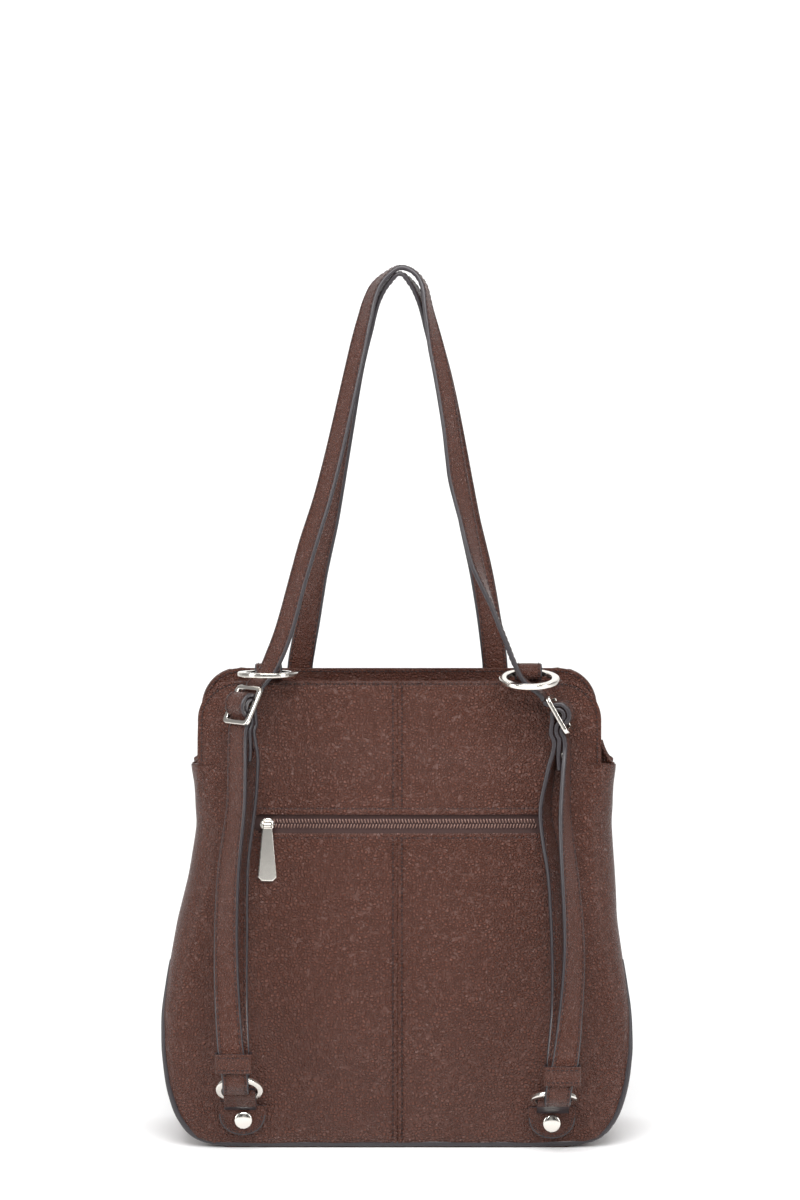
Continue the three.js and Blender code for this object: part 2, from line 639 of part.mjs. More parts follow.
// Strap lines through a slide, seen along its bars: out is a share of one strap layer and its gap, up a
// share of the outer bars' distance from the middle bar.
const barHeight = (slideHeight - slideBar) / 2;
const layerStep = strapThickness + gap;
const shortEndLine = [
  { out: -5.40, up: -2.60 }, { out: -4.15, up: -1.95 }, { out: -2.94, up: -1.45 }, { out: -2.26, up: -1.15 },
  { out: -2.18, up: -0.88 }, { out: -1.76, up: -0.62 }, { out: -1.00, up: -0.42 }, { out: 0.00, up: -0.33 },
  { out: 0.84, up: -0.24 },
  { out: 1.20, up: 0.00 }, { out: 0.85, up: 0.22 }, { out: 0.00, up: 0.31 }, { out: -0.85, up: 0.22 },
  { out: -1.26, up: 0.04 }, { out: -1.74, up: -0.17 }, { out: -2.52, up: -0.42 }, { out: -3.20, up: -0.72 },
  { out: -3.42, up: -1.10 },
];
const weaveLine = [
  { out: -1.75, up: -1.55 }, { out: -1.16, up: -1.15 }, { out: -1.10, up: -0.87 }, { out: 0.00, up: -0.60 },
  { out: 1.64, up: -0.43 },
  { out: 2.30, up: 0.00 }, { out: 1.64, up: 0.43 }, { out: 0.00, up: 0.60 }, { out: -1.06, up: 0.86 },
  { out: -1.10, up: 1.00 },
];
const leaveLine = [{ out: -1.10, up: 1.04 }, { out: -1.14, up: 1.35 }];
// The rivet near the strap's short end, off the strap's middle towards the viewer by a share of its width
const endRivet = { out: -3.98, up: -1.88, aside: 0.2 };
const followSlide = (slide, line) => line.map((row) => (
  { at: slide.at(row.out * layerStep, row.up * barHeight), turn: slide.widthTurn }));

const keeperSlack = 1.5;
const ringDrift = 2.1;
// How far the front layer is drawn in under its keeper, and its lean towards the ring, as a share
const keeperPress = 0.65;
const frontLean = 0.8;
// The strap's turn through the lower ring. share runs from the ring's inner side to its outer one, and off
// and up are distances from there.
const ringTurnRows = [
  { share: 0, off: 1.5, up: 3.4 }, { share: 0, off: 0, up: 0 }, { share: 0, off: 0.5, up: -2.6 },
  { share: 0, off: 3.4, up: -4.9 }, { share: 0.5, off: 1, up: -5.4 }, { share: 1, off: -2.6, up: -4.4 },
  { share: 1, off: -1.1, up: -2.6 },
];
function runPieces(name) {
  const place = sides[name];
  const slide = slideFrame(place);
  const ring = lowerFrame(place);
  const flat = place.side < 0 ? 0 : 180;
  const outer = lowerRingRadius + gap + strapThickness / 2;
  const frontY = ring.at(outer, 0).y - keeperPress;
  const backAt = frontY + layerStep + keeperSlack;
  const front = { x: place.keeper.x + place.side * place.keeper.sway, y: frontY };
  const back = { x: place.keeper.x - place.side * place.keeper.sway, y: backAt };
  const between = (table, layer, topPoint) => table.map((row) => {
    const x = THREE.MathUtils.lerp(layer.x, topPoint.x, row.rise) + row.drift * strapWidth;
    const y = THREE.MathUtils.lerp(layer.y, topPoint.y, row.rise) + row.depth * strapWidth;
    return stop(x, y, THREE.MathUtils.lerp(place.keeper.z, topPoint.z, row.rise), row.turn);
  });
  const ringX = ring.centre.x + place.side * ringDrift;
  const inRing = (r, h) => stop(ringX, ring.at(r, h).y, ring.at(r, h).z, flat);
  const inner = chordDepth(lowerRingRadius, lowerRingBand, strapWidth + 2 * ringDrift) - gap - strapThickness / 2;
  const shortEnd = followSlide(slide, shortEndLine);
  const weave = followSlide(slide, weaveLine);
  const backRun = between(runTables[name].back, back, shortEnd[shortEnd.length - 1].at).reverse();
  const frontRun = between(runTables[name].front, front, weave[0].at);
  const inKeeper = (layer, lean) => [1, 0, -1].map((way) => stop(
    layer.x + lean * (ringX - layer.x) * (1 - way) / 2, layer.y, place.keeper.z + way * (keeperHeight / 2 + 1), flat));
  const ringTurn = ringTurnRows.map((row) => inRing(THREE.MathUtils.lerp(inner, outer, row.share) + row.off, row.up));
  const stops = [...shortEnd, ...backRun, ...inKeeper(back, 0), ...ringTurn, ...inKeeper(front, frontLean).reverse(),
    ...frontRun, ...weave];
  const rivetAt = slide.at(endRivet.out * layerStep, endRivet.up * barHeight)
    .addScaledVector(slide.facingOut, strapThickness / 2 + gap)
    .addScaledVector(slide.across, -place.side * endRivet.aside * strapWidth);
  return { slide, ring, keeperY: (frontY + backAt) / 2, stops, rivetAt };
}

// Arch of the long strap. rise is the share of the way from the ring to the peak, across the share of the
// ring's distance from the middle, depth the share of the way from the ring's middle to the peak.
const archLeft = [
  { rise: 0.10, across: 0.880, depth: 0.06, turn: 46 },
  { rise: 0.20, across: 0.793, depth: 0.14, turn: 48 },
  { rise: 0.33, across: 0.678, depth: 0.24, turn: 45 },
  { rise: 0.42, across: 0.588, depth: 0.34, turn: 47 },
  { rise: 0.52, across: 0.505, depth: 0.45, turn: 48 },
  { rise: 0.68, across: 0.390, depth: 0.60, turn: 50 },
  { rise: 0.80, across: 0.306, depth: 0.74, turn: 52 },
  { rise: 0.88, across: 0.247, depth: 0.84, turn: 59 },
  { rise: 0.955, across: 0.165, depth: 0.94, turn: 68 },
];
const archRight = [
  { rise: 0.955, across: 0.200, depth: 0.94, turn: 98 },
  { rise: 0.910, across: 0.228, depth: 0.88, turn: 105 },
  { rise: 0.80, across: 0.298, depth: 0.74, turn: 125 },
  { rise: 0.71, across: 0.357, depth: 0.63, turn: 130 },
  { rise: 0.60, across: 0.410, depth: 0.52, turn: 129 },
  { rise: 0.485, across: 0.460, depth: 0.42, turn: 136 },
  { rise: 0.385, across: 0.529, depth: 0.33, turn: 126 },
  { rise: 0.28, across: 0.601, depth: 0.22, turn: 116 },
  { rise: 0.175, across: 0.720, depth: 0.13, turn: 92 },
  { rise: 0.085, across: 0.830, depth: 0.05, turn: 90 },
];
// The arch's top, and how it passes each top ring, from the ring's middle
const archTop = [{ x: 1.6, y: 0, drop: 0, turn: 90 }, { x: 11, y: -1, drop: 3.4, turn: 92 }];
const ringPass = { left: { x: -0.8, y: 1.2, z: 1, turn: 48 }, right: { x: -4, y: 0, z: 0, turn: 90 } };
function archStops(left, right) {
  const leftRing = topFrame(sides.left);
  const rightRing = topFrame(sides.right);
  const leg = (table, ring, side) => table.map((row) => stop(
    row.across * Math.abs(ring.centre.x) * side,
    THREE.MathUtils.lerp(ring.centre.y, 0, row.depth),
    THREE.MathUtils.lerp(ring.centre.z, strapPeak, row.rise), row.turn));
  const pass = (ring, by) => stop(ring.centre.x + by.x, ring.centre.y + by.y, ring.centre.z + by.z, by.turn);
  return [
    ...followSlide(left, leaveLine), pass(leftRing, ringPass.left), ...leg(archLeft, leftRing, -1),
    ...archTop.map((row) => stop(row.x, row.y, strapPeak - row.drop, row.turn)),
    ...leg(archRight, rightRing, 1), pass(rightRing, ringPass.right), ...followSlide(right, leaveLine).reverse(),
  ];
}

// Handle strap of the far side, sewn flat to the far panel and nested under the long strap's arch.
const handleSewn = 36;
const handleFoot = 63.5;
const handleTable = [
  { rise: 0.12, across: 0.915, depth: 0.10, turn: 22 },
  { rise: 0.25, across: 0.825, depth: 0.22, turn: 28 },
  { rise: 0.37, across: 0.715, depth: 0.34, turn: 34 },
  { rise: 0.50, across: 0.620, depth: 0.48, turn: 40 },
  { rise: 0.64, across: 0.520, depth: 0.63, turn: 46 },
  { rise: 0.76, across: 0.425, depth: 0.76, turn: 54 },
  { rise: 0.87, across: 0.305, depth: 0.88, turn: 62 },
  { rise: 0.94, across: 0.200, depth: 0.95, turn: 74 },
];
function handleStops() {
  const farRim = rimHeight + farRimRise;
  const peak = strapPeak - strapThickness / 2 - gap - handleThickness / 2 - 0.9;
  const edges = [-strapWidth / 2, 0, strapWidth / 2];
  const lie = (x, z) => Math.max(...edges.map((edge) => faceDepth(x + edge, z))) + gap + handleThickness / 2;
  const rows = (side) => {
    const foot = side * handleFoot;
    const turned = (angle) => (side < 0 ? angle : 180 - angle);
    const low = [stop(foot, lie(foot, farRim - handleSewn), farRim - handleSewn, turned(0)),
      stop(foot, lie(foot, farRim - handleSewn / 2), farRim - handleSewn / 2, turned(0)),
      stop(foot, lie(foot, farRim) + gap, farRim + gap, turned(0))];
    const high = handleTable.map((row) => stop(row.across * foot + (side < 0 ? 0 : 1.5),
      THREE.MathUtils.lerp(lie(foot, farRim), 0.6, row.depth),
      THREE.MathUtils.lerp(farRim, peak, row.rise), turned(row.turn)));
    return [...low, ...high];
  };
  return [...rows(-1), stop(1.6, 0.6, peak, 90), ...rows(1).reverse()];
}

// Leather loop that holds a top ring: up from inside the mouth, over the rear band, back under it.
function tabStops(place) {
  const ring = topFrame(place);
  const x = ring.centre.x;
  const insideY = (z, layer) => backY(x, z) + wall + gap + facingThickness + gap
    + (layer + 0.85) * (tabThickness + gap) - gap / 2;
  const innerEdge = chordDepth(topRingRadius, topRingBand, tabWidth) - gap - tabThickness / 2;
  const top = topRingThickness / 2 + 3.4;
  const under = -(topRingThickness / 2 + gap + tabThickness / 2);
  const low = rimHeight - 28;
  const lip = rimHeight + 2 * gap + tabThickness / 2;
  const underAt = ring.at(-innerEdge - 2.2, under);
  const at = (r, h) => ({ at: ring.at(r, h), turn: 0 });
  return [
    stop(x, insideY(low, 1), low, 0), stop(x, insideY(rimHeight - 8, 1), rimHeight - 8, 0),
    stop(x, insideY(rimHeight, 1) + 1.2, rimHeight + 3, 0),
    at(-topRingRadius + 1, top - 0.6), at(-innerEdge - 3, top), at(-innerEdge, topRingThickness / 2 + 0.9),
    at(-innerEdge + 0.3, -0.6), stop(x, underAt.y, Math.max(underAt.z, lip), 0),
    stop(x, backY(x, rimHeight) + wall / 2, Math.max(ring.at(-topRingRadius, under).z - 0.4, lip), 0),
    stop(x, insideY(rimHeight, 0) + 0.2, rimHeight - 1, 0), stop(x, insideY(rimHeight - 6, 0), rimHeight - 6, 0),
    stop(x, insideY(low, 0), low, 0),
  ];
}

// Keeper: a leather loop round both layers of the strap.
function keeper(place, keeperY) {
  const innerWidth = strapWidth + 2 * place.keeper.sway + 2 * gap + 0.4;
  const innerDepth = 2 * strapThickness + 4 * gap + keeperSlack;
  const shape = roundedRectangle(new THREE.Shape(), innerWidth + 2 * keeperThickness, innerDepth + 2 * keeperThickness, 0, 2.6);
  shape.holes.push(roundedRectangle(new THREE.Path(), innerWidth, innerDepth, 0, 0.5));
  const body = plate(shape, keeperHeight, axisX, axisY, axisZ);
  body.translate(place.keeper.x, keeperY, place.keeper.z - keeperHeight / 2);
  return body;
}

// Patch sewn to the panel with the loop that holds the lower ring, in one piece.
function anchor(place, ring) {
  const x = ring.centre.x;
  const reach = chordDepth(lowerRingRadius, lowerRingBand, holderWidth) - gap - holderThickness / 2;
  const side = lowerRingThickness / 2 + gap + holderThickness / 2;
  const rear = lowerRingRadius + gap + holderThickness / 2;
  const topZ = ring.at(-rear, 0).z;
  const patchTop = topZ - 1.2;
  const half = patchWidth / 2;
  const reachX = [-half, 0, half].map((across) => place.patch.x + across);
  const reachZ = [patchTop - patchHeight / 2, patchTop, patchTop + 4];
  const face = Math.min(...reachX.flatMap((px) => reachZ.map((pz) => backY(px, pz)))) - gap;
  const shape = new THREE.Shape();
  shape.moveTo(-half, 0);
  shape.lineTo(-half, -patchHeight * 0.3);
  shape.bezierCurveTo(-half, -patchHeight * 0.75, -half * 0.55, -patchHeight, 0, -patchHeight);
  shape.bezierCurveTo(half * 0.55, -patchHeight, half, -patchHeight * 0.75, half, -patchHeight * 0.3);
  shape.lineTo(half, 0);
  const patch = plate(shape, patchThickness, axisX, axisZ, outward, 0, 6);
  patch.rotateY(place.patch.turn * degrees);
  patch.translate(place.patch.x, face, patchTop);
  const at = (r, h) => ({ at: ring.at(r, h), turn: 0 });
  const behind = face - holderThickness / 2 - 0.05;
  const loop = ribbon([
    stop(x, behind, patchTop - 5, 0), stop(x, behind, patchTop + 1.5, 0),
    at(-rear + 2.2, side + 0.6), at(-(reach + rear) / 2, side + 0.2), at(-reach - 1, side - 0.2),
    at(-reach + 0.8, 0), at(-reach - 1, -side + 0.2), at(-(reach + rear) / 2, -side - 0.2),
    at(-rear + 1.5, -side - 0.6), stop(x, behind - 1.2, patchTop - 3.4, 0),
  ], holderWidth, holderThickness, 3);
  return { body: asManifold(patch).add(asManifold(loop)), face: face - patchThickness, top: patchTop };
}

// Domed rivet head on an axis: a short lathe closed on its own axis.
function rivet(radius, height, at, direction) {
  const profile = [[0, 0], [radius, 0], [radius, height * 0.35], [radius * 0.8, height * 0.8], [0, height]];
  const body = new THREE.LatheGeometry(profile.map(([r, h]) => new THREE.Vector2(r, h)), 16);
  body.applyQuaternion(new THREE.Quaternion().setFromUnitVectors(axisY, direction));
  body.translate(at.x, at.y, at.z);
  return body;
}

const leather = { color: 0x5e3f37, roughness: 0.55, metalness: 0 };
const edgePaint = { color: 0x4a4548, roughness: 0.5, metalness: 0 };
const nickel = { color: 0xd6d0c6, roughness: 0.12, metalness: 1 };
const tapeCloth = { color: 0x4a2e28, roughness: 0.8, metalness: 0 };
const coilPlastic = { color: 0x54382c, roughness: 0.4, metalness: 0.2 };

const bag = new THREE.Group();
function put(name, geometry, finish) {
  const body = closedBody(geometry);
  body.computeVertexNormals();
  const mesh = new THREE.Mesh(body, new THREE.MeshStandardMaterial(finish));
  mesh.name = name;
  bag.add(mesh);
}

put('back_panel', asGeometry(backPanel), leather);
put('front_panel', asGeometry(frontPanel), leather);
put('gusset_base', asGeometry(gussetBase), leather);
for (const [name, curve] of Object.entries(bindings)) {
  put(`base_binding_${name}`, tube(curve, bindingRadius, bindingSides, bindingSteps), edgePaint);
}
put('rim_facing_back', asGeometry(facing('back', rimHeight)), leather);
put('rim_facing_front', asGeometry(facing('front', rimHeight + farRimRise)), leather);
put('zip_tape', asGeometry(zipTape()), tapeCloth);
put('zip_coil', zipCoil(), coilPlastic);
put('zip_slider', asGeometry(zipSlider()), nickel);
put('zip_pull', zipPull(), nickel);

const runs = { left: runPieces('left'), right: runPieces('right') };
for (const [name, run] of Object.entries(runs)) {
  const place = sides[name];
  const top = topFrame(place);
  put(`strap_${name}_run`, ribbon(run.stops, strapWidth, strapThickness, 2), leather);
  put(`slide_${name}`, slideBody(run.slide), nickel);
  put(`top_ring_${name}`, ringBody(top, topRingRadius, topRingBand, topRingThickness, 24), nickel);
  put(`top_ring_tab_${name}`, ribbon(tabStops(place), tabWidth, tabThickness, 2), leather);
  put(`lower_ring_${name}`, ringBody(run.ring, lowerRingRadius, lowerRingBand, lowerRingThickness, 20), nickel);
  put(`keeper_${name}`, keeper(place, run.keeperY), leather);
  const patch = anchor(place, run.ring);
  put(`anchor_${name}`, asGeometry(patch.body), leather);
  const rivetAt = new THREE.Vector3(place.patch.x, patch.face - gap, patch.top - patchHeight * 0.52);
  put(`anchor_rivet_${name}`, rivet(rivetRadius, rivetHeight, rivetAt, outward), nickel);
  put(`end_rivet_${name}`, rivet(endRivetRadius, endRivetHeight, run.rivetAt, run.slide.facingOut), nickel);
}
put('strap_arch', ribbon(archStops(runs.left.slide, runs.right.slide), strapWidth, strapThickness, 2), leather);
put('handle_strap', ribbon(handleStops(), strapWidth, handleThickness, 2), leather);

// The origin is the middle of the whole bag's footprint, on the floor.
const extent = new THREE.Box3().setFromObject(bag);
const middle = extent.getCenter(new THREE.Vector3());
bag.position.set(-middle.x, -middle.y, -extent.min.z);
const backpack = new THREE.Group();
backpack.add(bag);

export default backpack;
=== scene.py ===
"""A leather convertible backpack on a pale floor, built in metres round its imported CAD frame.

+Z is up, the pocket zip and the shoulder straps face -Y. Each section below makes one piece of the bag:
its sizes, its mesh, its material and the body that it rides on.
"""
import math

import bmesh
import bpy
import numpy as np
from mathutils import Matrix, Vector


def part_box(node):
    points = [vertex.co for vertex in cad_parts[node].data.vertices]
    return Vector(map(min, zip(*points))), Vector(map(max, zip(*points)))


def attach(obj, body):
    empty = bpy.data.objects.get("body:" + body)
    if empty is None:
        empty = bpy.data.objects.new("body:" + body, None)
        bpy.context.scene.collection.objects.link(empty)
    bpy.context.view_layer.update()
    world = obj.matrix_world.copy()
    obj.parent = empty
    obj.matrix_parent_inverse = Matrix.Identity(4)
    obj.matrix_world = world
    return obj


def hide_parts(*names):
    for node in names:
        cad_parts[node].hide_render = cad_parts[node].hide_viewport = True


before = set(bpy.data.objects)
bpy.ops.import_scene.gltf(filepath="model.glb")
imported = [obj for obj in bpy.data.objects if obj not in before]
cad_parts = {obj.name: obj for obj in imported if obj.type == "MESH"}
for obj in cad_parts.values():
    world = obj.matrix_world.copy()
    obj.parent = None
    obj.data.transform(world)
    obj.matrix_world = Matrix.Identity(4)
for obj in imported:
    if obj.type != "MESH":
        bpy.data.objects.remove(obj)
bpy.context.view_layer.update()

# ---- Camera ----
# A long lens just above the middle of the bag, tilted down by a few degrees.
camera_aim = Vector((0.0019, -0.037, 0.351))
camera_tilt = math.radians(4.5)
camera_distance = 2.6
camera = bpy.data.objects.new("camera", bpy.data.cameras.new("camera"))
camera.data.sensor_fit = "VERTICAL"
camera.data.sensor_height = 36
camera.data.lens = 123.5
camera.rotation_euler = (math.pi / 2 - camera_tilt, 0, 0)
camera.location = camera_aim - camera_distance * Vector((0, math.cos(camera_tilt), -math.sin(camera_tilt)))
bpy.context.scene.collection.objects.link(camera)
bpy.context.scene.camera = camera

# ---- Floor, backdrop and light ----
# A white sweep behind the bag, two wide soft boxes above it, one at each side, and dark cards for the metal.
def mesh_object(name, vertices, faces):
    """A new object from points and from faces, an array or lists of indices, with smooth shading."""
    mesh = bpy.data.meshes.new(name)
    faces = faces if isinstance(faces, list) else faces.tolist()
    mesh.from_pydata(np.asarray(vertices, float).reshape(-1, 3).tolist(), [], faces)
    mesh.shade_smooth()
    piece = bpy.data.objects.new(name, mesh)
    bpy.context.scene.collection.objects.link(piece)
    return piece


def grid_faces(rows, columns, closed=False):
    """Quads between the neighbouring rows and columns of a grid.

    closed also joins the last column to the first.
    """
    i, j = np.meshgrid(np.arange(rows - 1), np.arange(columns if closed else columns - 1), indexing="ij")
    this, after = i * columns, (i + 1) * columns
    k = (j + 1) % columns
    return np.stack([this + j, this + k, after + k, after + j], -1).reshape(-1, 4)


def tube_faces(rows, columns):
    """Quads round a closed grid, with one flat face over each end."""
    ends = [list(range(columns))[::-1], [(rows - 1) * columns + k for k in range(columns)]]
    return grid_faces(rows, columns, closed=True).tolist() + ends


def principled(name, colour, roughness, metallic=0.0):
    """A material with a node tree that holds one Principled shader, and that shader."""
    material = bpy.data.materials.new(name)
    material.use_nodes = True
    shader = material.node_tree.nodes["Principled BSDF"]
    shader.inputs["Base Color"].default_value = (*colour, 1)
    shader.inputs["Roughness"].default_value = roughness
    shader.inputs["Metallic"].default_value = metallic
    return material, shader


sweep_half = 5.0
sweep_front = -4.0
sweep_bend_start = 1.6
sweep_radius = 0.9
sweep_top = 4.5
sweep_bend = np.linspace(0, math.pi / 2, 24)
sweep_y = np.concatenate([[sweep_front], sweep_bend_start + sweep_radius * np.sin(sweep_bend),
                          [sweep_bend_start + sweep_radius]])
sweep_z = np.concatenate([[0.0], sweep_radius - sweep_radius * np.cos(sweep_bend), [sweep_top]])
sweep_x = np.array([-sweep_half, sweep_half])
sweep_points = np.stack([
    np.repeat(sweep_x[None, :], len(sweep_y), 0),
    np.repeat(sweep_y[:, None], 2, 1),
    np.repeat(sweep_z[:, None], 2, 1),
], -1)
sweep = mesh_object("floor_sweep", sweep_points, grid_faces(len(sweep_y), 2))
paper, paper_shader = principled("sweep_paper", (0.93, 0.93, 0.93), 0.9)
# The wall's outer side lets the view through, so that the bag is seen from behind as well.
paper_nodes, paper_links = paper.node_tree.nodes, paper.node_tree.links
paper_side = paper_nodes.new("ShaderNodeNewGeometry")
paper_clear = paper_nodes.new("ShaderNodeBsdfTransparent")
paper_mix = paper_nodes.new("ShaderNodeMixShader")
paper_links.new(paper_side.outputs["Backfacing"], paper_mix.inputs[0])
paper_links.new(paper_shader.outputs[0], paper_mix.inputs[1])
paper_links.new(paper_clear.outputs[0], paper_mix.inputs[2])
paper_links.new(paper_mix.outputs[0], paper_nodes["Material Output"].inputs["Surface"])
sweep.data.materials.append(paper)

for light_name, size_x, size_y, power, place, aim in (
    # name, width, height, watts, where it hangs, where it points
    ("top_box", 1.0, 0.35, 12.0, (0.0, -0.70, 1.12), (0.0, 0.0, 0.22)),
    ("high_box", 1.6, 0.40, 24.0, (0.0, -1.90, 1.28), (0.0, 0.0, 0.30)),
    ("left_box", 0.5, 1.3, 13.0, (-1.45, -0.75, 0.75), (0.0, 0.0, 0.22)),
    ("right_box", 0.5, 1.3, 11.0, (1.45, -0.8, 0.75), (0.0, 0.0, 0.22)),
    ("backdrop_box", 2.6, 0.6, 30.0, (0.0, 0.9, 2.1), (0.0, 2.4, 0.7)),
):
    light = bpy.data.objects.new(light_name, bpy.data.lights.new(light_name, "AREA"))
    light.data.shape = "RECTANGLE"
    light.data.size = size_x
    light.data.size_y = size_y
    light.data.energy = power
    light.location = place
    light.rotation_euler = (Vector(aim) - Vector(place)).to_track_quat("-Z", "Y").to_euler()
    bpy.context.scene.collection.objects.link(light)

# The metal mirrors the cards, which no view shows.
card_paper, _ = principled("card_paper", (0.010, 0.010, 0.011), 0.9)
card_foot = 0.02
card_top = 1.3
for card_name, start, end in (
    ("left_card", (-1.0, -2.9), (-0.35, -3.1)),
    ("right_card", (0.35, -3.1), (1.0, -2.9)),
):
    card_corners = [(*start, card_foot), (*end, card_foot), (*end, card_top), (*start, card_top)]
    card = mesh_object(card_name, card_corners, [(0, 1, 2, 3)])
    card.data.materials.append(card_paper)
    card.visible_camera = False

world = bpy.data.worlds.new("studio")
world.use_nodes = True
world.node_tree.nodes["Background"].inputs["Color"].default_value = (1, 1, 1, 1)
world.node_tree.nodes["Background"].inputs["Strength"].default_value = 0.34
bpy.context.scene.world = world
bpy.context.scene.view_settings.view_transform = "Standard"

# ---- Leather and its grain ----
# Brown cowhide with small round pebbles, painted shade darkening their valleys, and a soft even sheen.
def pebble_group():
    """A node group that gives leather grain: a normal for the shader and a mask of the valleys for painted
    shade.
    """
    group = bpy.data.node_groups.new("pebble_grain", "ShaderNodeTree")
    group.interface.new_socket("Vector", in_out="INPUT", socket_type="NodeSocketVector")
    group.interface.new_socket("Pebble Size", in_out="INPUT", socket_type="NodeSocketFloat")
    group.interface.new_socket("Depth", in_out="INPUT", socket_type="NodeSocketFloat")
    # The Valley output is the mask for the painted shade in the pebble valleys.
    group.interface.new_socket("Valley", in_out="OUTPUT", socket_type="NodeSocketFloat")
    group.interface.new_socket("Normal", in_out="OUTPUT", socket_type="NodeSocketVector")
    nodes = group.nodes
    entry = nodes.new("NodeGroupInput")
    leave = nodes.new("NodeGroupOutput")
    scale = nodes.new("ShaderNodeMath")
    scale.operation = "DIVIDE"
    scale.inputs[0].default_value = 1.0
    group.links.new(entry.outputs["Pebble Size"], scale.inputs[1])
    wobble = nodes.new("ShaderNodeTexNoise")
    wobble.inputs["Scale"].default_value = 260
    wobble.inputs["Detail"].default_value = 2
    shift = nodes.new("ShaderNodeVectorMath")
    shift.operation = "MULTIPLY_ADD"
    shift.inputs[1].default_value = (0.0014, 0.0014, 0.0014)
    cells = nodes.new("ShaderNodeTexVoronoi")
    cells.feature = "DISTANCE_TO_EDGE"
    cells.inputs["Randomness"].default_value = 0.92
    fine = nodes.new("ShaderNodeTexNoise")
    fine.inputs["Scale"].default_value = 2600
    fine.inputs["Detail"].default_value = 2
    rounded = nodes.new("ShaderNodeMapRange")
    rounded.interpolation_type = "SMOOTHSTEP"
    rounded.inputs["From Max"].default_value = 0.34
    height = nodes.new("ShaderNodeMath")
    height.operation = "MULTIPLY_ADD"
    height.inputs[1].default_value = 0.16
    bump = nodes.new("ShaderNodeBump")
    bump.inputs["Distance"].default_value = 0.0014
    # The valleys' mask, which carries the painted shade.
    valley_shade_mask = nodes.new("ShaderNodeMath")
    valley_shade_mask.operation = "SUBTRACT"
    valley_shade_mask.inputs[0].default_value = 1.0
    group.links.new(entry.outputs["Vector"], wobble.inputs["Vector"])
    group.links.new(wobble.outputs["Color"], shift.inputs[0])
    group.links.new(entry.outputs["Vector"], shift.inputs[2])
    group.links.new(shift.outputs["Vector"], cells.inputs["Vector"])
    group.links.new(scale.outputs["Value"], cells.inputs["Scale"])
    group.links.new(entry.outputs["Vector"], fine.inputs["Vector"])
    group.links.new(cells.outputs["Distance"], rounded.inputs["Value"])
    group.links.new(fine.outputs["Fac"], height.inputs[0])
    group.links.new(rounded.outputs["Result"], height.inputs[2])
    group.links.new(height.outputs["Value"], bump.inputs["Height"])
    group.links.new(entry.outputs["Depth"], bump.inputs["Strength"])
    group.links.new(rounded.outputs["Result"], valley_shade_mask.inputs[1])
    group.links.new(valley_shade_mask.outputs["Value"], leave.inputs["Valley"])
    group.links.new(bump.outputs["Normal"], leave.inputs["Normal"])
    return group


pebbles = pebble_group()


def leather_material(name, colour, dark, pebble_size, depth, roughness):
    """Leather: pebbles of a given size and depth, patchy tone, painted shade in the valleys and a thin clear
    finish.
    """
    material, shader = principled(name, colour, roughness)
    tree = material.node_tree
    nodes = tree.nodes
    place = nodes.new("ShaderNodeTexCoord")
    grain = nodes.new("ShaderNodeGroup")
    grain.node_tree = pebbles
    grain.inputs["Pebble Size"].default_value = pebble_size
    grain.inputs["Depth"].default_value = depth
    patches = nodes.new("ShaderNodeTexNoise")
    patches.inputs["Scale"].default_value = 22
    patches.inputs["Detail"].default_value = 5
    tone = nodes.new("ShaderNodeMix")
    tone.data_type = "RGBA"
    tone.inputs["A"].default_value = (*(0.88 * c for c in colour), 1)
    tone.inputs["B"].default_value = (*(1.14 * c for c in colour), 1)
    # Painted shade: the pebble valleys are mixed towards a dark colour.
    valley_shade_amount = nodes.new("ShaderNodeMath")
    valley_shade_amount.operation = "MULTIPLY"
    valley_shade_amount.inputs[1].default_value = 0.42
    shaded = nodes.new("ShaderNodeMix")
    shaded.data_type = "RGBA"
    shaded.inputs["B"].default_value = (*dark, 1)
    gloss = nodes.new("ShaderNodeMapRange")
    gloss.inputs["To Min"].default_value = roughness - 0.05
    gloss.inputs["To Max"].default_value = roughness + 0.08
    tree.links.new(place.outputs["Object"], grain.inputs["Vector"])
    tree.links.new(place.outputs["Object"], patches.inputs["Vector"])
    tree.links.new(patches.outputs["Fac"], tone.inputs["Factor"])
    tree.links.new(patches.outputs["Fac"], gloss.inputs["Value"])
    tree.links.new(grain.outputs["Valley"], valley_shade_amount.inputs[0])
    tree.links.new(valley_shade_amount.outputs["Value"], shaded.inputs["Factor"])
    tree.links.new(tone.outputs["Result"], shaded.inputs["A"])
    tree.links.new(shaded.outputs["Result"], shader.inputs["Base Color"])
    tree.links.new(gloss.outputs["Result"], shader.inputs["Roughness"])
    tree.links.new(grain.outputs["Normal"], shader.inputs["Normal"])
    shader.inputs["Specular IOR Level"].default_value = 0.36
    shader.inputs["Coat Weight"].default_value = 0.06
    shader.inputs["Coat Roughness"].default_value = 0.28
    return material


# The colour of the painted shade in the pebble valleys.
valley_shade_colour = (0.022, 0.007, 0.0045)
body_leather = leather_material("body_leather", (0.092, 0.029, 0.0170), valley_shade_colour,
                                pebble_size=0.0021, depth=1.0, roughness=0.36)
strap_leather = leather_material("strap_leather", (0.090, 0.029, 0.0175), valley_shade_colour,
                                 pebble_size=0.0017, depth=0.85, roughness=0.35)

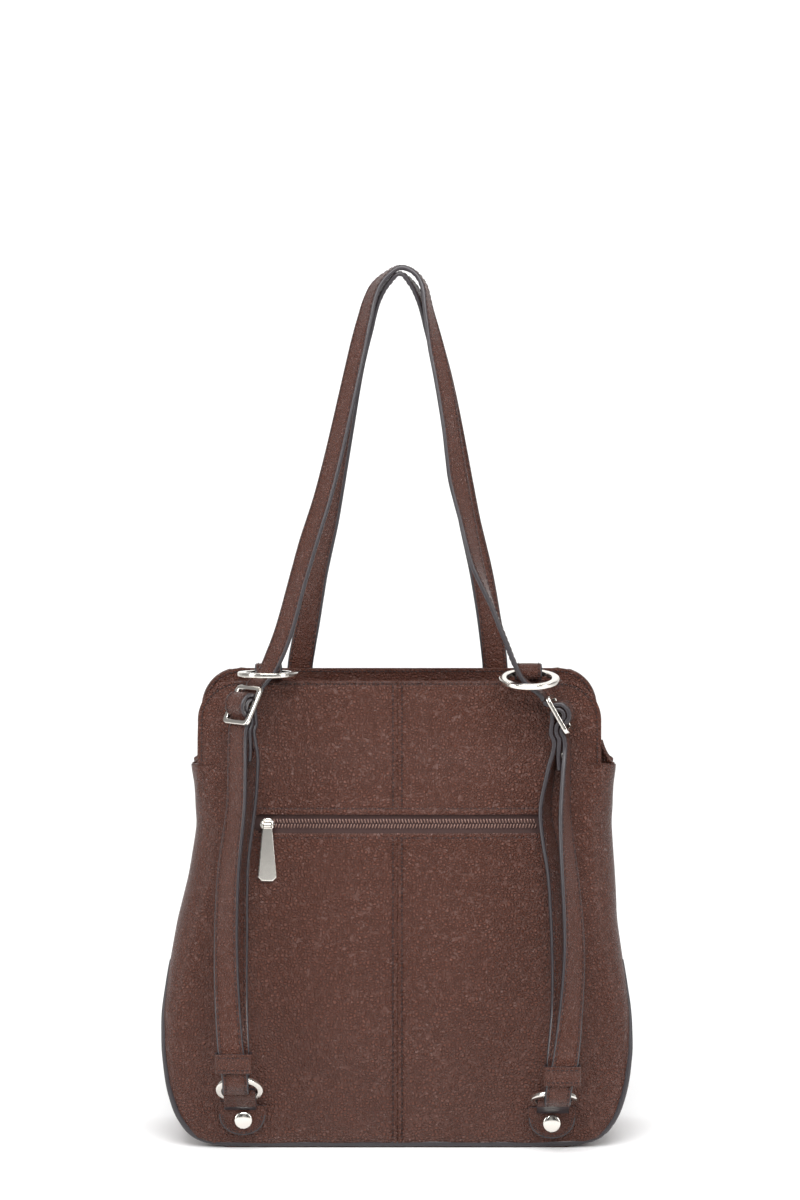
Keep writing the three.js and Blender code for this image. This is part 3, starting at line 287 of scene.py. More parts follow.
# ---- Edge paint and thread ----
# Cut edges are sealed with dark grey paint; all seams are sewn with dark brown thread.
def bump_texture(material, shader, kind, scale, distance, strength=1.0):
    """A texture on the object's own coordinates that raises the shader's normal; returns its node."""
    nodes, links = material.node_tree.nodes, material.node_tree.links
    place = nodes.new("ShaderNodeTexCoord")
    texture = nodes.new(kind)
    texture.inputs["Scale"].default_value = scale
    bump = nodes.new("ShaderNodeBump")
    bump.inputs["Distance"].default_value = distance
    bump.inputs["Strength"].default_value = strength
    links.new(place.outputs["Object"], texture.inputs["Vector"])
    links.new(texture.outputs["Fac"], bump.inputs["Height"])
    links.new(bump.outputs["Normal"], shader.inputs["Normal"])
    return texture


edge_paint, edge_shader = principled("edge_paint", (0.022, 0.018, 0.021), 0.34)
bump_texture(edge_paint, edge_shader, "ShaderNodeTexNoise", scale=900, distance=0.0001, strength=0.35)

thread, thread_shader = principled("thread", (0.020, 0.006, 0.005), 0.60)
thread_twist = bump_texture(thread, thread_shader, "ShaderNodeTexWave", scale=900, distance=0.0001)
thread_twist.bands_direction = "DIAGONAL"


def capsules(name, centres, directions, lifts, length, radius, material):
    """Short rounded rods, one at each centre, along its direction, with lifts as the outward side.

    A rod is four rings of six points, narrower at the ends, and a flat cap at each end.
    """
    sides, rings = 6, 4
    turns = np.linspace(0, 2 * np.pi, sides, endpoint=False)
    along = np.array([-0.5, -0.38, 0.38, 0.5]) * length
    swell = np.array([0.35, 1.0, 1.0, 0.35]) * radius
    directions = directions / np.linalg.norm(directions, axis=1, keepdims=True)
    sideways = np.cross(directions, lifts)
    sideways /= np.linalg.norm(sideways, axis=1, keepdims=True)
    upward = np.cross(sideways, directions)
    rod = np.stack([np.repeat(along[:, None], sides, 1), swell[:, None] * np.cos(turns),
                    swell[:, None] * np.sin(turns)], -1).reshape(-1, 3)
    points = (centres[:, None, :] + rod[None, :, 0:1] * directions[:, None, :]
              + rod[None, :, 1:2] * sideways[:, None, :] + rod[None, :, 2:3] * upward[:, None, :])
    first = len(rod) * np.arange(len(centres))[:, None, None]
    quads = (grid_faces(rings, sides, closed=True)[None] + first).reshape(-1, 4)
    caps = np.stack([np.arange(sides)[::-1], (rings - 1) * sides + np.arange(sides)])
    caps = (caps[None] + first).reshape(-1, sides)
    piece = mesh_object(name, points, quads.tolist() + caps.tolist())
    piece.data.materials.append(material)
    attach(piece, "bag")
    return piece


def along_path(points, normals, pitch):
    """Evenly spaced places on a polyline, with the path's direction and the surface normal at each."""
    steps = np.linalg.norm(np.diff(points, axis=0), axis=1)
    reach = np.concatenate([[0], np.cumsum(steps)])
    at = np.arange(pitch / 2, reach[-1], pitch)
    place = np.stack([np.interp(at, reach, points[:, k]) for k in range(3)], -1)
    ahead = np.stack([np.interp(at + pitch / 4, reach, points[:, k]) for k in range(3)], -1)
    behind = np.stack([np.interp(at - pitch / 4, reach, points[:, k]) for k in range(3)], -1)
    normal = np.stack([np.interp(at, reach, normals[:, k]) for k in range(3)], -1)
    return place, ahead - behind, normal


# ---- Body surface ----
# The bag is a soft shell: sections from the base up give its width, depth, corner radius, crown and fold.
half_base = 0.1495
half_depth = 0.056
rim_height = 0.297
far_rim_rise = 0.004
shoulder = 0.243
rim_half = 0.129
rim_corner = 0.026
rim_middle = 0.0015
plan_corner = 0.024
crown_height = 0.004
fold_depth = 0.009
wall = 0.002
section_table = np.array([
    # height, half width, lean, half depth, corner, crown, fold, seam
    (0.000, 0.745, 0.000, 0.930, 0.25, 0.00, 0.00, 0.00),
    (0.008, 0.800, 0.000, 0.965, 0.29, 0.00, 0.00, 0.22),
    (0.024, 0.885, 0.000, 0.990, 0.33, 0.05, 0.00, 0.40),
    (0.071, 0.948, 0.000, 1.000, 0.38, 0.30, 0.00, 0.50),
    (0.130, 0.982, 0.000, 1.000, 0.44, 0.60, 0.00, 0.60),
    (0.205, 0.998, 0.000, 0.992, 0.52, 0.90, 0.00, 0.75),
    (0.285, 0.998, -0.003, 0.972, 0.62, 1.00, 0.00, 0.90),
    (0.380, 0.975, -0.003, 0.925, 0.78, 1.00, 0.05, 1.00),
    (0.475, 0.946, 0.000, 0.860, 0.95, 0.95, 0.15, 1.00),
    (0.570, 0.918, 0.019, 0.785, 1.00, 0.80, 0.30, 1.00),
    (0.680, 0.894, 0.030, 0.700, 0.90, 0.60, 0.50, 1.00),
    (0.770, 0.901, 0.029, 0.622, 0.78, 0.45, 0.75, 1.00),
    (0.820, 0.914, 0.027, 0.570, 0.70, 0.40, 1.00, 1.00),
    (0.870, 0.912, 0.020, 0.515, 0.64, 0.30, 1.10, 1.00),
    (1.030, 0.906, 0.009, 0.390, 0.50, 0.00, 1.10, 1.00),
])
base_ease = 0.03
shoulder_step = 0.0016
gusset_low, gusset_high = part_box("gusset_base")
body_middle = Vector((0.5 * (gusset_low[0] + gusset_high[0]),
                      0.5 * (gusset_low[1] + gusset_high[1]), gusset_low[2]))


def bell(steps, width):
    """Weights of a bell curve that add up to 1, from steps before its middle to steps after it."""
    weights = np.exp(-0.5 * (np.arange(-steps, steps + 1) / width) ** 2)
    return weights / weights.sum()


def section_at(z):
    """Half width, lean, half depth, corner, crown, fold and seam share at heights z.

    The table's rows are joined by straight lines and eased by a bell curve, fully so above base_ease.
    """
    levels = np.linspace(-0.03, rim_height * 1.03, 400)
    sizes = (half_base, half_base, half_depth, plan_corner, crown_height, fold_depth, 1.0)
    low = np.clip(np.asarray(z) / base_ease, 0, 1)
    columns = []
    for k, size in enumerate(sizes):
        raw = np.interp(levels, section_table[:, 0] * rim_height, section_table[:, k + 1] * size)
        eased = np.convolve(np.pad(raw, 12, mode="edge"), bell(12, 4.5), "valid")
        columns.append(low * np.interp(z, levels, eased) + (1 - low) * np.interp(z, levels, raw))
    return columns


def body_point(reach, z, way, inward=0.0):
    """Points of a panel at a signed distance round its section from the middle, at heights z.

    Flat part: depth = half depth + crown * (1 - (x / flat)^2). Corner: a circle that starts where the flat
    part ends. way is -1 for the panel with the zip and 1 for the far one; inward goes into the wall.
    """
    half_width, lean, depth, corner, crown, _, _ = section_at(z)
    flat = half_width - corner
    angle = np.clip((np.abs(reach) - flat) / corner, 0, math.pi / 2)
    x = np.where(np.abs(reach) < flat, reach, np.sign(reach) * (flat + corner * np.sin(angle)))
    bow = crown * np.clip(1 - (reach / flat) ** 2, 0, 1)
    y = depth - corner * (1 - np.cos(angle)) + bow
    slope = np.where(np.abs(reach) < flat, -2 * crown * reach / flat ** 2, 0)
    normal_x = np.where(np.abs(reach) < flat, -slope, np.sign(reach) * np.sin(angle))
    normal_y = np.where(np.abs(reach) < flat, 1.0, np.cos(angle))
    size = np.hypot(normal_x, normal_y)
    x = x + lean - inward * normal_x / size
    y = y - inward * normal_y / size
    points = np.stack([x + body_middle.x, way * y + body_middle.y, z + body_middle.z + 0 * x], -1)
    normals = np.stack([normal_x / size, way * normal_y / size, 0 * x], -1)
    return points, normals


def panel_edge(z, top, side):
    """How far round the section a panel reaches at heights z.

    Up to the shoulder it reaches the side seam, and above it the rim outline with its rounded corners. The
    step between them is the smooth curve 3 t^2 - 2 t^3 over shoulder_step.
    """
    half_width, lean, _, corner, _, _, seam = section_at(z)
    flat = half_width - corner
    to_seam = flat + corner * np.arccos(np.clip(1 - seam, -1, 1))
    over = np.clip((z - (top - rim_corner)) / rim_corner, 0, 1)
    rim_x = rim_half - rim_corner * (1 - np.sqrt(1 - over ** 2)) + side * (rim_middle - body_middle.x - lean)
    past = np.clip((rim_x - flat) / corner, 0, 1)
    to_rim = np.where(rim_x < flat, rim_x, flat + corner * np.arcsin(past))
    step = np.clip((z - shoulder) / shoulder_step + 0.5, 0, 1)
    return to_seam + (to_rim - to_seam) * step * step * (3 - 2 * step)


def smooth_noise(a, b, scale, seed):
    """Soft seeded noise of two coordinates: a sum of sine waves with random directions and phases."""
    random = np.random.default_rng(seed)
    total = np.zeros(np.broadcast(a, b).shape)
    for _ in range(9):
        turn = random.uniform(0, 2 * np.pi)
        phase = random.uniform(0, 2 * np.pi)
        stretch = random.uniform(0.6, 1.7)
        total += np.sin((a * math.cos(turn) + b * math.sin(turn)) * stretch * 2 * np.pi / scale + phase)
    return total / 6


def ridge(shape, distance):
    """A soft puff, or a groove where its height is below 0.

    shape is its height and its width: the height times exp(-0.5 (distance / width)^2).
    """
    height, width = shape
    return height * np.exp(-0.5 * (distance / width) ** 2)


# ---- Panel with the pocket zip ----
# Two leather halves joined by a centre seam, cut by the zip's window and folded over along the rim.
zip_height = 0.2065
zip_opening = 0.0124
zip_middle = 0.002
zip_half = 0.094
seam_x = 0.0003
seam_stitches = (-0.0026, 0.0031)
zip_stitches = (0.2162, 0.1977)
rim_stitch = 0.0025
# Height and width of each groove and puff, and how far from their line the puffs lie
seam_groove = (-0.0009, 0.0005)
seam_puff = (0.0004, 0.0007)
seam_puff_out = 0.0015
stitch_groove = (-0.00035, 0.0005)
zip_clearing = (1.0, 0.007)
zip_row_groove = (-0.0004, 0.0006)
zip_lip = (0.0006, 0.0018)
zip_lip_out = 0.0085
rim_sewn_from = shoulder - 0.02
rim_stitch_groove = (-0.00045, 0.0006)
rim_puff = (0.0004, 0.0010)
rim_puff_in = 0.0009
# Slack of the leather: all over, towards the lower corners, at the upper corners, and small waves
slack_all = 0.00035
slack_low = 0.0006
slack_high = 0.0005
slack_size = 0.065
wave_height = 0.00012
wave_size = 0.017
panel_foot = 0.0034
row_step = 0.0019
least_row_step = 0.00035
panel_reach = 0.146
column_count = 155
least_column_step = 0.0025
edge_columns = np.array([0.003, 0.007])


def panel_rows(top, breaks):
    """Row heights from the base to the rim, closer together near the given heights and the rim corners."""
    close = np.array([-0.0016, -0.0008, 0, 0.0008, 0.0016])
    rows = [np.arange(panel_foot, top - 0.004, row_step),
            top - rim_corner * (1 - np.sin(np.linspace(0.9, np.pi / 2, 14)))]
    rows += [height + close for height in breaks]
    rows = np.unique(np.round(np.concatenate(rows), 5))
    keep = np.concatenate([[True], np.diff(rows) > least_row_step])
    return rows[keep & (rows <= top)]


def panel_columns(breaks):
    """Column places as shares of the way to the panel's edge, closer together at the given distances."""
    close = np.array([-0.0011, -0.00055, 0, 0.00055, 0.0011])
    spread = np.linspace(-1, 1, column_count)
    extra = [place / panel_reach + close / panel_reach for place in breaks]
    columns = [spread, edge_columns - 1, 1 - edge_columns] + extra
    columns = np.unique(np.round(np.concatenate(columns), 5))
    keep = np.concatenate([[True], np.diff(columns) > least_column_step])
    keep[-1] = True
    return columns[keep]


def thicken(piece, thickness, edge=0.0, edge_angle=0.0):
    """Gives a sheet its thickness, half to each side, and rounds its cut edges where a width is given."""
    solid = piece.modifiers.new("thickness", "SOLIDIFY")
    solid.thickness = thickness
    solid.offset = 0
    if edge:
        rounding = piece.modifiers.new("rounded", "BEVEL")
        rounding.width = edge
        rounding.segments = 2
        rounding.limit_method = "ANGLE"
        rounding.angle_limit = math.radians(edge_angle)
    bpy.context.view_layer.objects.active = piece
    for name in [modifier.name for modifier in piece.modifiers]:
        bpy.ops.object.modifier_apply(modifier=name)
    if edge:
        piece.data.shade_smooth()


def build_panel(name, node, way, top, rows, columns, relief, window=None):
    """A panel grid pushed out by relief, thickened to the wall and folded soft at its edges."""
    z = np.repeat(rows[:, None], len(columns), 1)
    share = np.repeat(columns[None, :], len(rows), 0)
    reach = np.where(share < 0, share * panel_edge(z, top, -1), share * panel_edge(z, top, 1))
    points, normals = body_point(reach, z, way, wall / 2)
    points = points + normals * relief(points, z)[..., None]
    faces = grid_faces(len(rows), len(columns))
    if window is not None:
        faces = faces[~window(points.reshape(-1, 3)[faces].mean(1))]
    if way > 0:
        faces = faces[:, ::-1]
    piece = mesh_object(name, points, faces)
    thicken(piece, wall, edge=0.0007, edge_angle=50)
    piece.data.materials.append(body_leather)
    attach(piece, "bag")
    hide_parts(node)


def edge_distance(points, z, top):
    """How far a point lies inside the panel's rim outline above the shoulder."""
    x = np.abs(points[..., 0] - rim_middle)
    inside = rim_half - x
    below = top - z
    corner_x = np.clip(x - (rim_half - rim_corner), 0, None)
    corner_z = np.clip(z - (top - rim_corner), 0, None)
    in_corner = rim_corner - np.hypot(corner_x, corner_z)
    return np.where((corner_x > 0) & (corner_z > 0), in_corner, np.minimum(inside, below))


def leather_swell(x, z, seed):
    """Slack in the leather, a few tenths of a millimetre on the panels and more towards the lower corners."""
    low = np.clip(1 - z / 0.12, 0, 1)
    out = np.clip(np.abs(x) / 0.13, 0, 1) ** 2
    high = np.clip((z - 0.2) / 0.06, 0, 1)
    slack = slack_all + slack_low * low * out + slack_high * high * out
    waves = wave_height * smooth_noise(x, z, wave_size, seed + 1)
    return slack * smooth_noise(x, z * 0.7, slack_size, seed) + waves


def rim_groove(rim, z):
    """The groove that the rim stitches pull, at a distance rim inside the outline above the shoulder."""
    return np.where(z > rim_sewn_from, ridge(rim_stitch_groove, rim - rim_stitch), 0)


def zip_panel_relief(points, z):
    """Height of the seams on the zip panel: grooves sink, the leather beside them puffs up."""
    x = points[..., 0]
    clear = 1 - ridge(zip_clearing, z - zip_height)
    centre = ridge(seam_groove, x - seam_x) + ridge(seam_puff, np.abs(x - seam_x) - seam_puff_out)
    for offset in seam_stitches:
        centre = centre + ridge(stitch_groove, x - offset)
    near_zip = np.clip((zip_half + 0.012 - np.abs(x - zip_middle)) / 0.006, 0, 1)
    bands = sum(ridge(zip_row_groove, z - row) for row in zip_stitches) * near_zip
    lip = ridge(zip_lip, np.abs(z - zip_height) - zip_lip_out) * near_zip
    rim = edge_distance(points, z, rim_height)
    fold = rim_groove(rim, z) + np.where(z > rim_sewn_from, ridge(rim_puff, rim - rim_puff_in), 0)
    return centre * clear + bands + lip + fold + leather_swell(x, z, 11)


def in_zip_window(middle):
    """True for faces inside the zip's window, a long slot with rounded ends."""
    over = np.clip(np.abs(middle[:, 0] - zip_middle) - (zip_half - zip_opening / 2), 0, None)
    rise = middle[:, 2] - body_middle.z - zip_height
    return np.hypot(over, rise) < zip_opening / 2


zip_rows = panel_rows(rim_height, (zip_height - zip_opening / 2, zip_height + zip_opening / 2, *zip_stitches,
                                   rim_height - rim_stitch, shoulder))
zip_columns = panel_columns((seam_x, *seam_stitches))
build_panel("back_panel_skin", "back_panel", -1, rim_height, zip_rows, zip_columns,
            zip_panel_relief, in_zip_window)


def on_panel(x, z, way, lift=0.00012):
    """Points and normals on a panel's outer face at plan places x and heights z, lifted off it by lift."""
    x, z = np.broadcast_arrays(np.asarray(x, float), np.asarray(z, float))
    half_width, lean, _, corner, _, _, _ = section_at(z)
    inner = x - lean - body_middle.x
    flat = half_width - corner
    past = np.clip((np.abs(inner) - flat) / corner, 0, 0.999)
    reach = np.where(np.abs(inner) < flat, inner, np.sign(inner) * (flat + corner * np.arcsin(past)))
    return body_point(reach, z, way, -lift)


def rim_path(top, inset):
    """The rim outline at an inset, from the left shoulder over the top to the right shoulder, as x and z."""
    side_count, top_count = 12, 60
    half = rim_half - inset
    radius = rim_corner - inset
    level = top - inset
    turn = np.linspace(0, np.pi / 2, 24)
    left_x = rim_middle - half
    right_x = rim_middle + half
    x = np.concatenate([np.full(side_count, left_x), left_x + radius * (1 - np.cos(turn)),
                        np.linspace(left_x + radius, right_x - radius, top_count),
                        right_x - radius * (1 - np.sin(turn)), np.full(side_count, right_x)])
    side = np.linspace(shoulder + 0.002, level - radius, side_count)
    z = np.concatenate([side, level - radius * (1 - np.sin(turn)), np.full(top_count, level),
                        level - radius * (1 - np.cos(turn)), side[::-1]])
    return x, z


panel_pitch = 0.0028
panel_stitch = (0.0020, 0.00040)
stitch_runs = []
for offset in seam_stitches:
    for low, high in ((0.006, zip_stitches[1] - 0.001), (zip_stitches[0] + 0.001, rim_height - 0.003)):
        stitch_runs.append(on_panel(offset, np.linspace(low, high, 160), -1))
zip_row_reach = zip_half + 0.005
for row in zip_stitches:
    row_x = np.linspace(zip_middle - zip_row_reach, zip_middle + zip_row_reach, 200)
    stitch_runs.append(on_panel(row_x, row, -1))
stitch_runs.append(on_panel(*rim_path(rim_height, rim_stitch), -1))
places = [along_path(points, normals, panel_pitch) for points, normals in stitch_runs]
capsules("back_panel_stitches", *(np.concatenate([p[k] for p in places]) for k in range(3)),
         *panel_stitch, thread)

# ---- Far panel ----
# One plain piece of the same leather, its rim a little higher, with the same folded and stitched edge.
far_top = rim_height + far_rim_rise


def far_panel_relief(points, z):
    """Height of the rim's groove and the slack on the far panel."""
    return rim_groove(edge_distance(points, z, far_top), z) + leather_swell(points[..., 0], z, 29)


build_panel("front_panel_skin", "front_panel", 1, far_top,
            panel_rows(far_top, (far_top - rim_stitch, shoulder)), panel_columns((0.0,)), far_panel_relief)
far_line = on_panel(*rim_path(far_top, rim_stitch), 1)
capsules("front_panel_stitches", *along_path(*far_line, panel_pitch), *panel_stitch, thread)

# ---- Gusset and base ----
# One strip makes the base and both sides. It folds inwards at the sides and rises softly between the panels.
gusset_rise = 0.013
lift_start = 0.17
side_ripple = 0.0005
mouth_ripple = 0.0012
ripple_size = 0.05
gusset_columns = 49
side_rows = np.concatenate([np.linspace(0, 0.012, 10), np.arange(0.0145, shoulder, 0.0026), [shoulder]])


def gusset_side(side):
    """The strip on one side, from the base up: corner, folded side and corner of each section.

    The fold is a parabola of the way to the corner, fold * (1 - t^2), and the mouth's edge rises by
    gusset_rise * (1 - t^2)^1.5 in its middle.
    """
    z = np.repeat(side_rows[:, None], gusset_columns, 1)
    across = np.repeat(np.linspace(-1, 1, gusset_columns)[None, :], len(side_rows), 0)
    lift = np.clip((z - lift_start) / (shoulder - lift_start), 0, 1)
    half_width, lean, depth, corner, _, fold, seam = section_at(z)
    start = np.arccos(np.clip(1 - seam, -1, 1))
    arc = corner * (np.pi / 2 - start)
    straight = depth - corner
    reach = np.abs(across) * (arc + straight)
    angle = np.where(reach > straight, (reach - straight) / corner, 0)
    x = np.where(reach > straight, half_width - corner * (1 - np.cos(angle)),
                 half_width - fold * (1 - (reach / straight) ** 2))
    y = np.sign(across) * np.where(reach > straight, straight + corner * np.sin(angle), reach)
    ripple = (side_ripple + mouth_ripple * lift) * smooth_noise(y, z, ripple_size, 5 + side) * (1 - across ** 2)
    z = z + lift ** 2 * gusset_rise * (1 - across ** 2) ** 1.5
    x = x - wall / 2 + ripple
    z = z + body_middle.z + wall / 2 * (1 - lift)
    return np.stack([side * x + lean + body_middle.x, y + body_middle.y, z], -1)


left_strip = gusset_side(-1)[::-1]
right_strip = gusset_side(1)
foot = section_table[0, 1] * half_base - 0.004
base_x = np.linspace(-foot, foot, 60)
base_y = np.linspace(-1, 1, gusset_columns) * section_table[0, 3] * half_depth
base_strip = np.stack([
    np.repeat(base_x[:, None], gusset_columns, 1) + body_middle.x,
    np.repeat(base_y[None, :], len(base_x), 0) + body_middle.y,
    np.full((len(base_x), gusset_columns), body_middle.z + wall / 2),
], -1)
strip = np.concatenate([left_strip, base_strip, right_strip])
gusset = mesh_object("gusset_skin", strip, grid_faces(len(strip), gusset_columns))
thicken(gusset, wall, edge=0.0006, edge_angle=60)
gusset.data.materials.append(body_leather)
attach(gusset, "bag")
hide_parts("gusset_base")

# ---- Painted edge along the base and the gusset seams ----
# Where the strip meets the panels their cut edges stand out as one dark painted bead.
def face_outward(mesh, join=0.0):
    """Turns the faces of a closed mesh outward, after joining its points that lie within join."""
    turned = bmesh.new()
    turned.from_mesh(mesh)
    if join:
        bmesh.ops.remove_doubles(turned, verts=turned.verts, dist=join)
    bmesh.ops.recalc_face_normals(turned, faces=turned.faces)
    turned.to_mesh(mesh)
    turned.free()


def smooth_copy(name, node, size, rounds, body="bag"):
    """A CAD part rebuilt as a fine even mesh with soft edges, for leather trim and small metal parts."""
    source = bpy.data.objects[node]
    piece = bpy.data.objects.new(name, source.data.copy())
    piece.matrix_world = source.matrix_world
    bpy.context.scene.collection.objects.link(piece)
    piece.data.materials.clear()
    merged = bmesh.new()
    merged.from_mesh(piece.data)
    bmesh.ops.remove_doubles(merged, verts=merged.verts, dist=1e-6)
    merged.to_mesh(piece.data)
    merged.free()
    remesh = piece.modifiers.new("even", "REMESH")
    remesh.mode = "VOXEL"
    remesh.voxel_size = size
    soften = piece.modifiers.new("soft", "SMOOTH")
    soften.factor = 0.5
    soften.iterations = rounds
    bpy.context.view_layer.objects.active = piece
    for modifier in ("even", "soft"):
        bpy.ops.object.modifier_apply(modifier=modifier)
    piece.data.shade_smooth()
    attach(piece, body)
    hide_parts(node)
    return piece


bead_radius = 0.0024
bead_tip = 0.0009
bead_top = 0.1180
bead_taper = 0.055
bead_inset = 0.0004
bead_clearance = 0.0001
bead_turns = 14
side_z = np.linspace(0.0030, bead_top, 90)
for side_name, way in (("back", -1), ("front", 1)):
    right_reach = panel_edge(side_z, rim_height, 1)
    right_path, right_out = body_point(right_reach, side_z, way, bead_inset)
    left_path, left_out = body_point(-right_reach, side_z, way, bead_inset)
    base_share = np.linspace(0, 1, 60)[1:-1, None]
    base_path = left_path[0] + (right_path[0] - left_path[0]) * base_share
    base_out = left_out[0] + (right_out[0] - left_out[0]) * base_share
    bead_path = np.concatenate([left_path[::-1], base_path, right_path])
    bead_out = np.concatenate([left_out[::-1], base_out, right_out])
    inner_part = np.stack([np.convolve(bead_path[:, k], bell(6, 2.6), "valid") for k in range(3)], -1)
    bead_path = np.concatenate([bead_path[:6], inner_part, bead_path[-6:]])
    ahead = np.gradient(bead_path, axis=0)
    ahead /= np.linalg.norm(ahead, axis=1, keepdims=True)
    bead_out = bead_out - (bead_out * ahead).sum(1, keepdims=True) * ahead
    bead_out /= np.linalg.norm(bead_out, axis=1, keepdims=True)
    bead_side = np.cross(ahead, bead_out)
    bead_path[:, 2] = np.maximum(bead_path[:, 2], body_middle.z + bead_radius + bead_clearance)
    swell = np.clip((bead_top - bead_path[:, 2]) / bead_taper, 0, 1) ** 0.7
    swell = bead_tip + (bead_radius - bead_tip) * swell
    spin = np.linspace(0, 2 * np.pi, bead_turns, endpoint=False)
    bead_points = bead_path[:, None] + swell[:, None, None] * (
        np.cos(spin)[None, :, None] * bead_out[:, None] + np.sin(spin)[None, :, None] * bead_side[:, None])
    binding = mesh_object("binding_" + side_name, bead_points, tube_faces(len(bead_path), bead_turns))
    face_outward(binding.data)
    binding.data.materials.append(edge_paint)
    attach(binding, "bag")
    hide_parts("base_binding_" + side_name)

# ---- Facings inside the mouth ----
# A darker leather strip lines each rim on the inside and is caught by the rim stitches.
facing_width = 0.0125
facing_wall = 0.0013
facing_gap = 0.0003
facing_steps = np.linspace(0.0018, facing_width - 0.0006, 12)
facing_insets = np.concatenate([[0.0004, 0.0010], facing_steps, [facing_width]])
for node, way, top in (("rim_facing_back", -1, rim_height), ("rim_facing_front", 1, far_top)):
    outlines = [rim_path(top, inset) for inset in facing_insets]
    facing_x = np.stack([outline[0] for outline in outlines])
    facing_z = np.stack([outline[1] for outline in outlines])
    facing_points, _ = on_panel(facing_x, facing_z, way, -(wall + facing_wall / 2 + facing_gap))
    facing = mesh_object(node + "_skin", facing_points, grid_faces(*facing_x.shape))
    thicken(facing, facing_wall)
    facing.data.materials.append(strap_leather)
    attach(facing, "bag")
    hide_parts(node)
    inner_points, inner_normals = on_panel(*rim_path(top, rim_stitch), way, -(wall + facing_wall + 0.0005))
    inner_places = along_path(inner_points, -inner_normals, panel_pitch)
    capsules(node + "_stitches", *inner_places, *panel_stitch, thread)

# ---- Pocket zip ----
# Woven tape sewn behind the window, two rows of brown coil teeth, and a nickel slider and pull.
tape_cloth, tape_shader = principled("tape_cloth", (0.046, 0.020, 0.017), 0.80)
tape_weave = bump_texture(tape_cloth, tape_shader, "ShaderNodeTexWave", scale=620, distance=0.00012)
tape_weave.bands_direction = "Z"
tape_weave.inputs["Distortion"].default_value = 0.6
tape_wall = 0.0008
tape_gap = 0.0004
tape_low, tape_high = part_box("zip_tape")
tape_x, tape_z = np.meshgrid(np.linspace(tape_low[0], tape_high[0], 160),
                             np.linspace(tape_low[2], tape_high[2], 26))
tape_points, _ = on_panel(tape_x, tape_z - body_middle.z, -1, -(wall + tape_gap + tape_wall / 2))
tape = mesh_object("zip_tape_skin", tape_points, grid_faces(*tape_x.shape))
thicken(tape, tape_wall)
tape.data.materials.append(tape_cloth)
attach(tape, "bag")
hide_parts("zip_tape")

coil_nylon, _ = principled("coil_nylon", (0.150, 0.082, 0.066), 0.22)
coil_low, coil_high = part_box("zip_coil")
tooth_pitch = 0.0020
tooth_offset = 0.0016
tooth_x = np.arange(coil_low[0] + 0.001, coil_high[0] - 0.001, tooth_pitch / 2)
tooth_side = np.where(np.arange(len(tooth_x)) % 2 == 0, 1.0, -1.0)
tooth_height = 0.5 * (coil_low[2] + coil_high[2]) - body_middle.z
tooth_place, tooth_normal = on_panel(tooth_x, tooth_height + tooth_offset * tooth_side, -1, -0.0012)
tooth_lean = np.stack([-0.28 * tooth_side, 0 * tooth_x, np.ones(len(tooth_x))], -1)
teeth = capsules("zip_teeth", tooth_place, tooth_lean, tooth_normal, 0.0030, 0.00052, coil_nylon)
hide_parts("zip_coil")

nickel, nickel_shader = principled("nickel", (0.74, 0.705, 0.65), 0.13, 1.0)
nickel_nodes, nickel_links = nickel.node_tree.nodes, nickel.node_tree.links
nickel_place = nickel_nodes.new("ShaderNodeTexCoord")
nickel_noise = nickel_nodes.new("ShaderNodeTexNoise")
nickel_noise.inputs["Scale"].default_value = 240
nickel_noise.inputs["Detail"].default_value = 4
nickel_wear = nickel_nodes.new("ShaderNodeMapRange")
nickel_wear.inputs["To Min"].default_value = 0.08
nickel_wear.inputs["To Max"].default_value = 0.22
nickel_links.new(nickel_place.outputs["Object"], nickel_noise.inputs["Vector"])
nickel_links.new(nickel_noise.outputs["Fac"], nickel_wear.inputs["Value"])
nickel_links.new(nickel_wear.outputs["Result"], nickel_shader.inputs["Roughness"])

for node, body, size, rounds in (
    # node, the body that it rides on, voxel size, rounds of smoothing
    ("zip_slider", "bag", 0.00022, 3),
    ("zip_pull", "pull", 0.0002, 2),
):
    metal_piece = smooth_copy(node + "_skin", node, size, rounds, body)
    metal_piece.data.materials.append(nickel)

# ---- Straps ----
# Two layers of leather sewn edge to edge, 16.5 mm wide, with painted cut edges. Each follows its CAD strap.
def node_corners(node):
    """The points of a CAD node's mesh, in the frame."""
    source = bpy.data.objects[node]
    places = np.empty(len(source.data.vertices) * 3)
    source.data.vertices.foreach_get("co", places)
    turn = np.array(source.matrix_world)
    return places.reshape(-1, 3) @ turn[:3, :3].T + turn[:3, 3]


